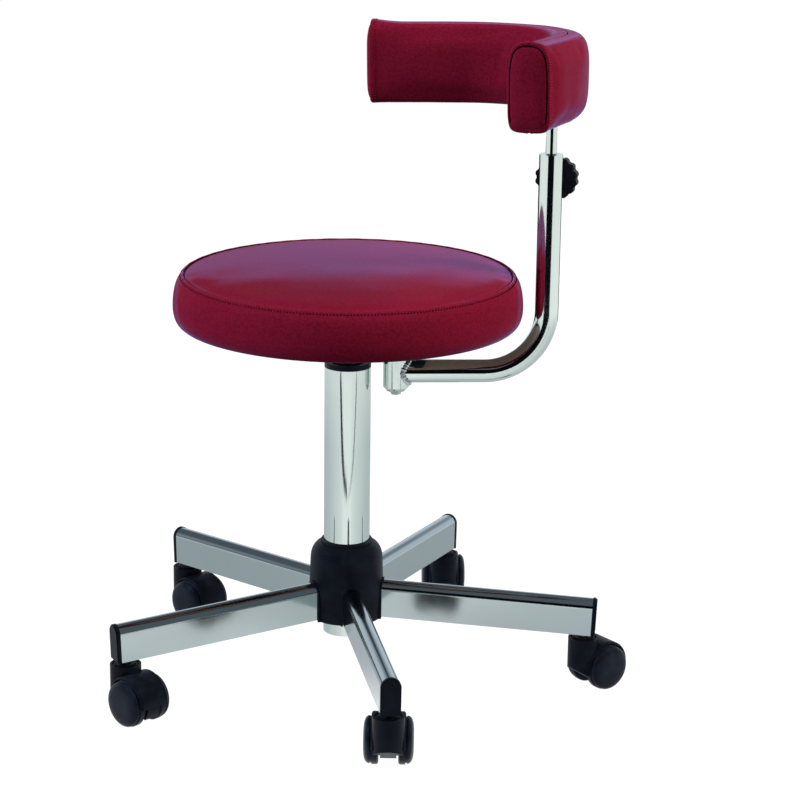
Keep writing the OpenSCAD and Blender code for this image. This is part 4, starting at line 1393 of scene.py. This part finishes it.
@dataclass
class Studio:
    """White studio: pale floor, soft lamps, dark flags for the plating, and the camera."""

    camera_at: Point = (2.5105, 0.0, 1.0262)
    lens: float = 109.46
    yaw: float = 0.02239
    pitch: float = 0.27601
    roll: float = 0.01283
    floor_half: float = 14.0
    flag_z: float = 0.002
    aim: Point = (0.0, 0.0, 0.4)

    def camera(self) -> None:
        """Sets the camera where the photograph was taken from."""
        forward = Vector(
            (
                -math.cos(self.yaw) * math.cos(self.pitch),
                math.sin(self.yaw) * math.cos(self.pitch),
                -math.sin(self.pitch),
            )
        )
        right = Vector((math.sin(self.yaw), math.cos(self.yaw), 0.0))
        up = right.cross(forward)
        across = math.cos(self.roll) * right + math.sin(self.roll) * up
        above = -math.sin(self.roll) * right + math.cos(self.roll) * up
        data = bpy.data.cameras.new("Camera")
        data.lens = self.lens
        data.sensor_width = 36.0
        data.clip_end = 100.0
        frame_axes = Matrix((across, above, -forward)).transposed().to_4x4()
        frame_axes.translation = Vector(self.camera_at)
        made = link_object("Camera", data)
        made.matrix_world = frame_axes
        bpy.context.scene.camera = made

    def world(self) -> None:
        """Sets a white surround that lights the stool more softly than it shows."""
        made = bpy.data.worlds.new("White surround")
        made.use_nodes = True
        made.node_tree.nodes.clear()
        graph = Graph(made.node_tree)
        path = graph.add("ShaderNodeLightPath").outputs
        seen = graph.maths("MAXIMUM", path["Is Camera Ray"], path["Is Glossy Ray"])
        either = graph.maths("MAXIMUM", seen, path["Is Transmission Ray"])
        strength = graph.span(either, first=0.22, last=1.0)
        # Mirrored, the backdrop is a cool white low behind the stool, and the room is dim overhead
        way = graph.split(graph.place("Generated"))
        low = graph.span(way["Z"], 0.32, 0.54, 1.0, 0.0, "SMOOTHSTEP")
        behind = graph.span(way["X"], 0.2, -0.5, step="SMOOTHSTEP")
        share = graph.maths("MULTIPLY", low, behind)
        mirrored = graph.mix(share, (0.14, 0.16, 0.19, 1.0), (0.8, 0.88, 1.0, 1.0))
        colour = graph.mix(path["Is Glossy Ray"], (1.0, 1.0, 1.0, 1.0), mirrored)
        shown = {"Color": colour, "Strength": strength}
        light = graph.out("ShaderNodeBackground", "Background", shown)
        graph.add("ShaderNodeOutputWorld", {"Surface": light})
        bpy.context.scene.world = made

    def paper(self) -> Material:
        """Makes the floor's white paper, which shows white and keeps the stool's shadow."""
        made, graph = blank_material("White studio paper")
        path = graph.add("ShaderNodeLightPath").outputs
        seen = graph.maths("MAXIMUM", path["Is Camera Ray"], path["Is Glossy Ray"])
        share = graph.maths("MULTIPLY", seen, 0.9)
        tone = graph.mix(seen, (0.22, 0.22, 0.24, 1.0), (0.97, 0.97, 0.97, 1.0))
        matt = graph.out("ShaderNodeBsdfDiffuse", "BSDF", {"Color": tone})
        # Painted shade: mirrored, the paper falls off to a cool grey round the sides and back of
        # the stool, near it
        place = graph.split(graph.place())
        turn = graph.maths("ABSOLUTE", graph.maths("ARCTAN2", place["Y"], place["X"]))
        curve = graph.maths("POWER", graph.span(turn, 0.3, 2.6), 0.5)
        reach = graph.out("ShaderNodeVectorMath", "Value", {0: graph.place()}, operation="LENGTH")
        near = graph.span(reach, 0.9, 1.8, 1.0, 0.0)
        dim = graph.maths("MULTIPLY", curve, near)
        mirrored = graph.maths("MULTIPLY", dim, path["Is Glossy Ray"])
        hue = graph.mix(mirrored, (1.0, 1.0, 1.0, 1.0), (0.46, 0.5, 0.53, 1.0))
        glow = graph.out("ShaderNodeEmission", "Emission", {"Strength": 1.09, "Color": hue})
        graph.surface(graph.out("ShaderNodeMixShader", "Shader", {0: share, 1: matt, 2: glow}))
        return made

    def flag_cloth(self) -> Material:
        """Makes the black cloth of the flags."""
        made, graph = blank_material("Black flag cloth")
        black = {"Color": linear("#0c0e10"), "Roughness": 1.0}
        graph.surface(graph.out("ShaderNodeBsdfDiffuse", "BSDF", black))
        return made

    def sheet(self, name: str, corners: Sequence[Point], material: Material) -> Thing:
        """Makes a flat stage piece.

        Args:
            name: Name of the piece.
            corners: Its corners in order.
            material: Its finish.

        Returns:
            The piece.
        """
        made = mesh_object(name, corners, [tuple(range(len(corners)))], material, smooth=False)
        return made

    def flag(self, name: str, corners: Sequence[Point], cloth: Material) -> None:
        """Sets a flag that only reflections show.

        Args:
            name: Name of the flag.
            corners: Its corners in order.
            cloth: Its finish.
        """
        made = self.sheet(name, corners, cloth)
        for rays in ("camera", "diffuse", "shadow", "transmission"):
            setattr(made, f"visible_{rays}", False)

    def lamp(
        self, name: str, at: Point, size: float, watts: float, tint: Point = (1.0, 1.0, 1.0)
    ) -> None:
        """Sets one softbox that faces the stool.

        Args:
            name: Name of the lamp.
            at: Its place.
            size: Width of its square face.
            watts: Its power.
            tint: Its colour.
        """
        data = bpy.data.lights.new(name, "AREA")
        data.color = tint
        data.shape = "SQUARE"
        data.size = size
        data.energy = watts
        made = link_object(name, data)
        made.visible_glossy = False
        made.location = at
        made.rotation_euler = (Vector(self.aim) - Vector(at)).to_track_quat("-Z", "Y").to_euler()

    def build(self) -> None:
        """Sets the whole studio."""
        self.camera()
        self.world()
        paper, cloth = self.paper(), self.flag_cloth()
        h, low = self.floor_half, self.flag_z
        self.sheet("studio_floor", [(-h, -h, 0), (h, -h, 0), (h, h, 0), (-h, h, 0)], paper)
        # Dark strips on the floor, and the dark room past the paper, are what the tubes mirror
        left = [(0.647, 0.0), (0.717, -0.063), (0.807, -0.232), (1.117, -0.684)]
        rear = [(-1.45, 0.0), (-1.05, 1.08), (-2.5, 2.6), (-3.6, 0.0)]
        flags: dict[str, list[tuple[float, float]]] = {
            "left_strip_flag": left + [(1.035, -0.84), (0.745, -0.385), (0.686, -0.187)],
            "right_strip_flag": [
                (0.647, 0.0), (0.745, 0.4), (0.955, 0.9), (0.896, 0.957), (0.715, 0.43)
            ],
            "front_flag": [(1.42, -0.8), (3.4, -1.9), (3.4, 1.9), (1.42, 0.8)],
            "rear_flag": rear + [(-2.5, -2.6), (-1.05, -1.08)],
        }
        for name, outline in flags.items():
            self.flag(name, [(x, y, low) for x, y in outline], cloth)
        wall = [(3.4, -1.9, low), (3.4, 1.9, low), (3.4, 1.9, 1.9), (3.4, -1.9, 1.9)]
        self.flag("camera_flag", wall, cloth)
        self.lamp("Key softbox", (0.3, 2.5, 2.3), 1.5, 118.0)
        self.lamp("Fill softbox", (0.6, -2.5, 2.2), 1.5, 126.0, (0.74, 0.8, 1.0))
        self.lamp("Front softbox", (3.0, 0.6, 2.4), 1.2, 3.0)
        self.lamp("Top softbox", (-0.5, 0.0, 2.9), 2.0, 1.0)
        bpy.context.scene.view_settings.view_transform = "Standard"


def main() -> None:
    """Builds every sub-assembly in order."""
    logging.basicConfig(level=logging.INFO, format="%(name)s: %(message)s")
    Studio().build()
    finishes = Finishes()
    parts: list[tuple[str, Callable[[Finishes], list[Thing]]]] = [
        ("frame", MetalFrame(frame["nodes"], frame["record"]).dress),
        ("seat", SeatCushion().dress),
        ("backrest", BackCushion().dress),
        ("weld", WeldBead().dress),
    ]
    for label, dress in parts:
        for piece in dress(finishes):
            LOG.info("%s: %s, %d faces", label, piece.name, len(piece.data.polygons))


if __name__ == "__main__":
    main()
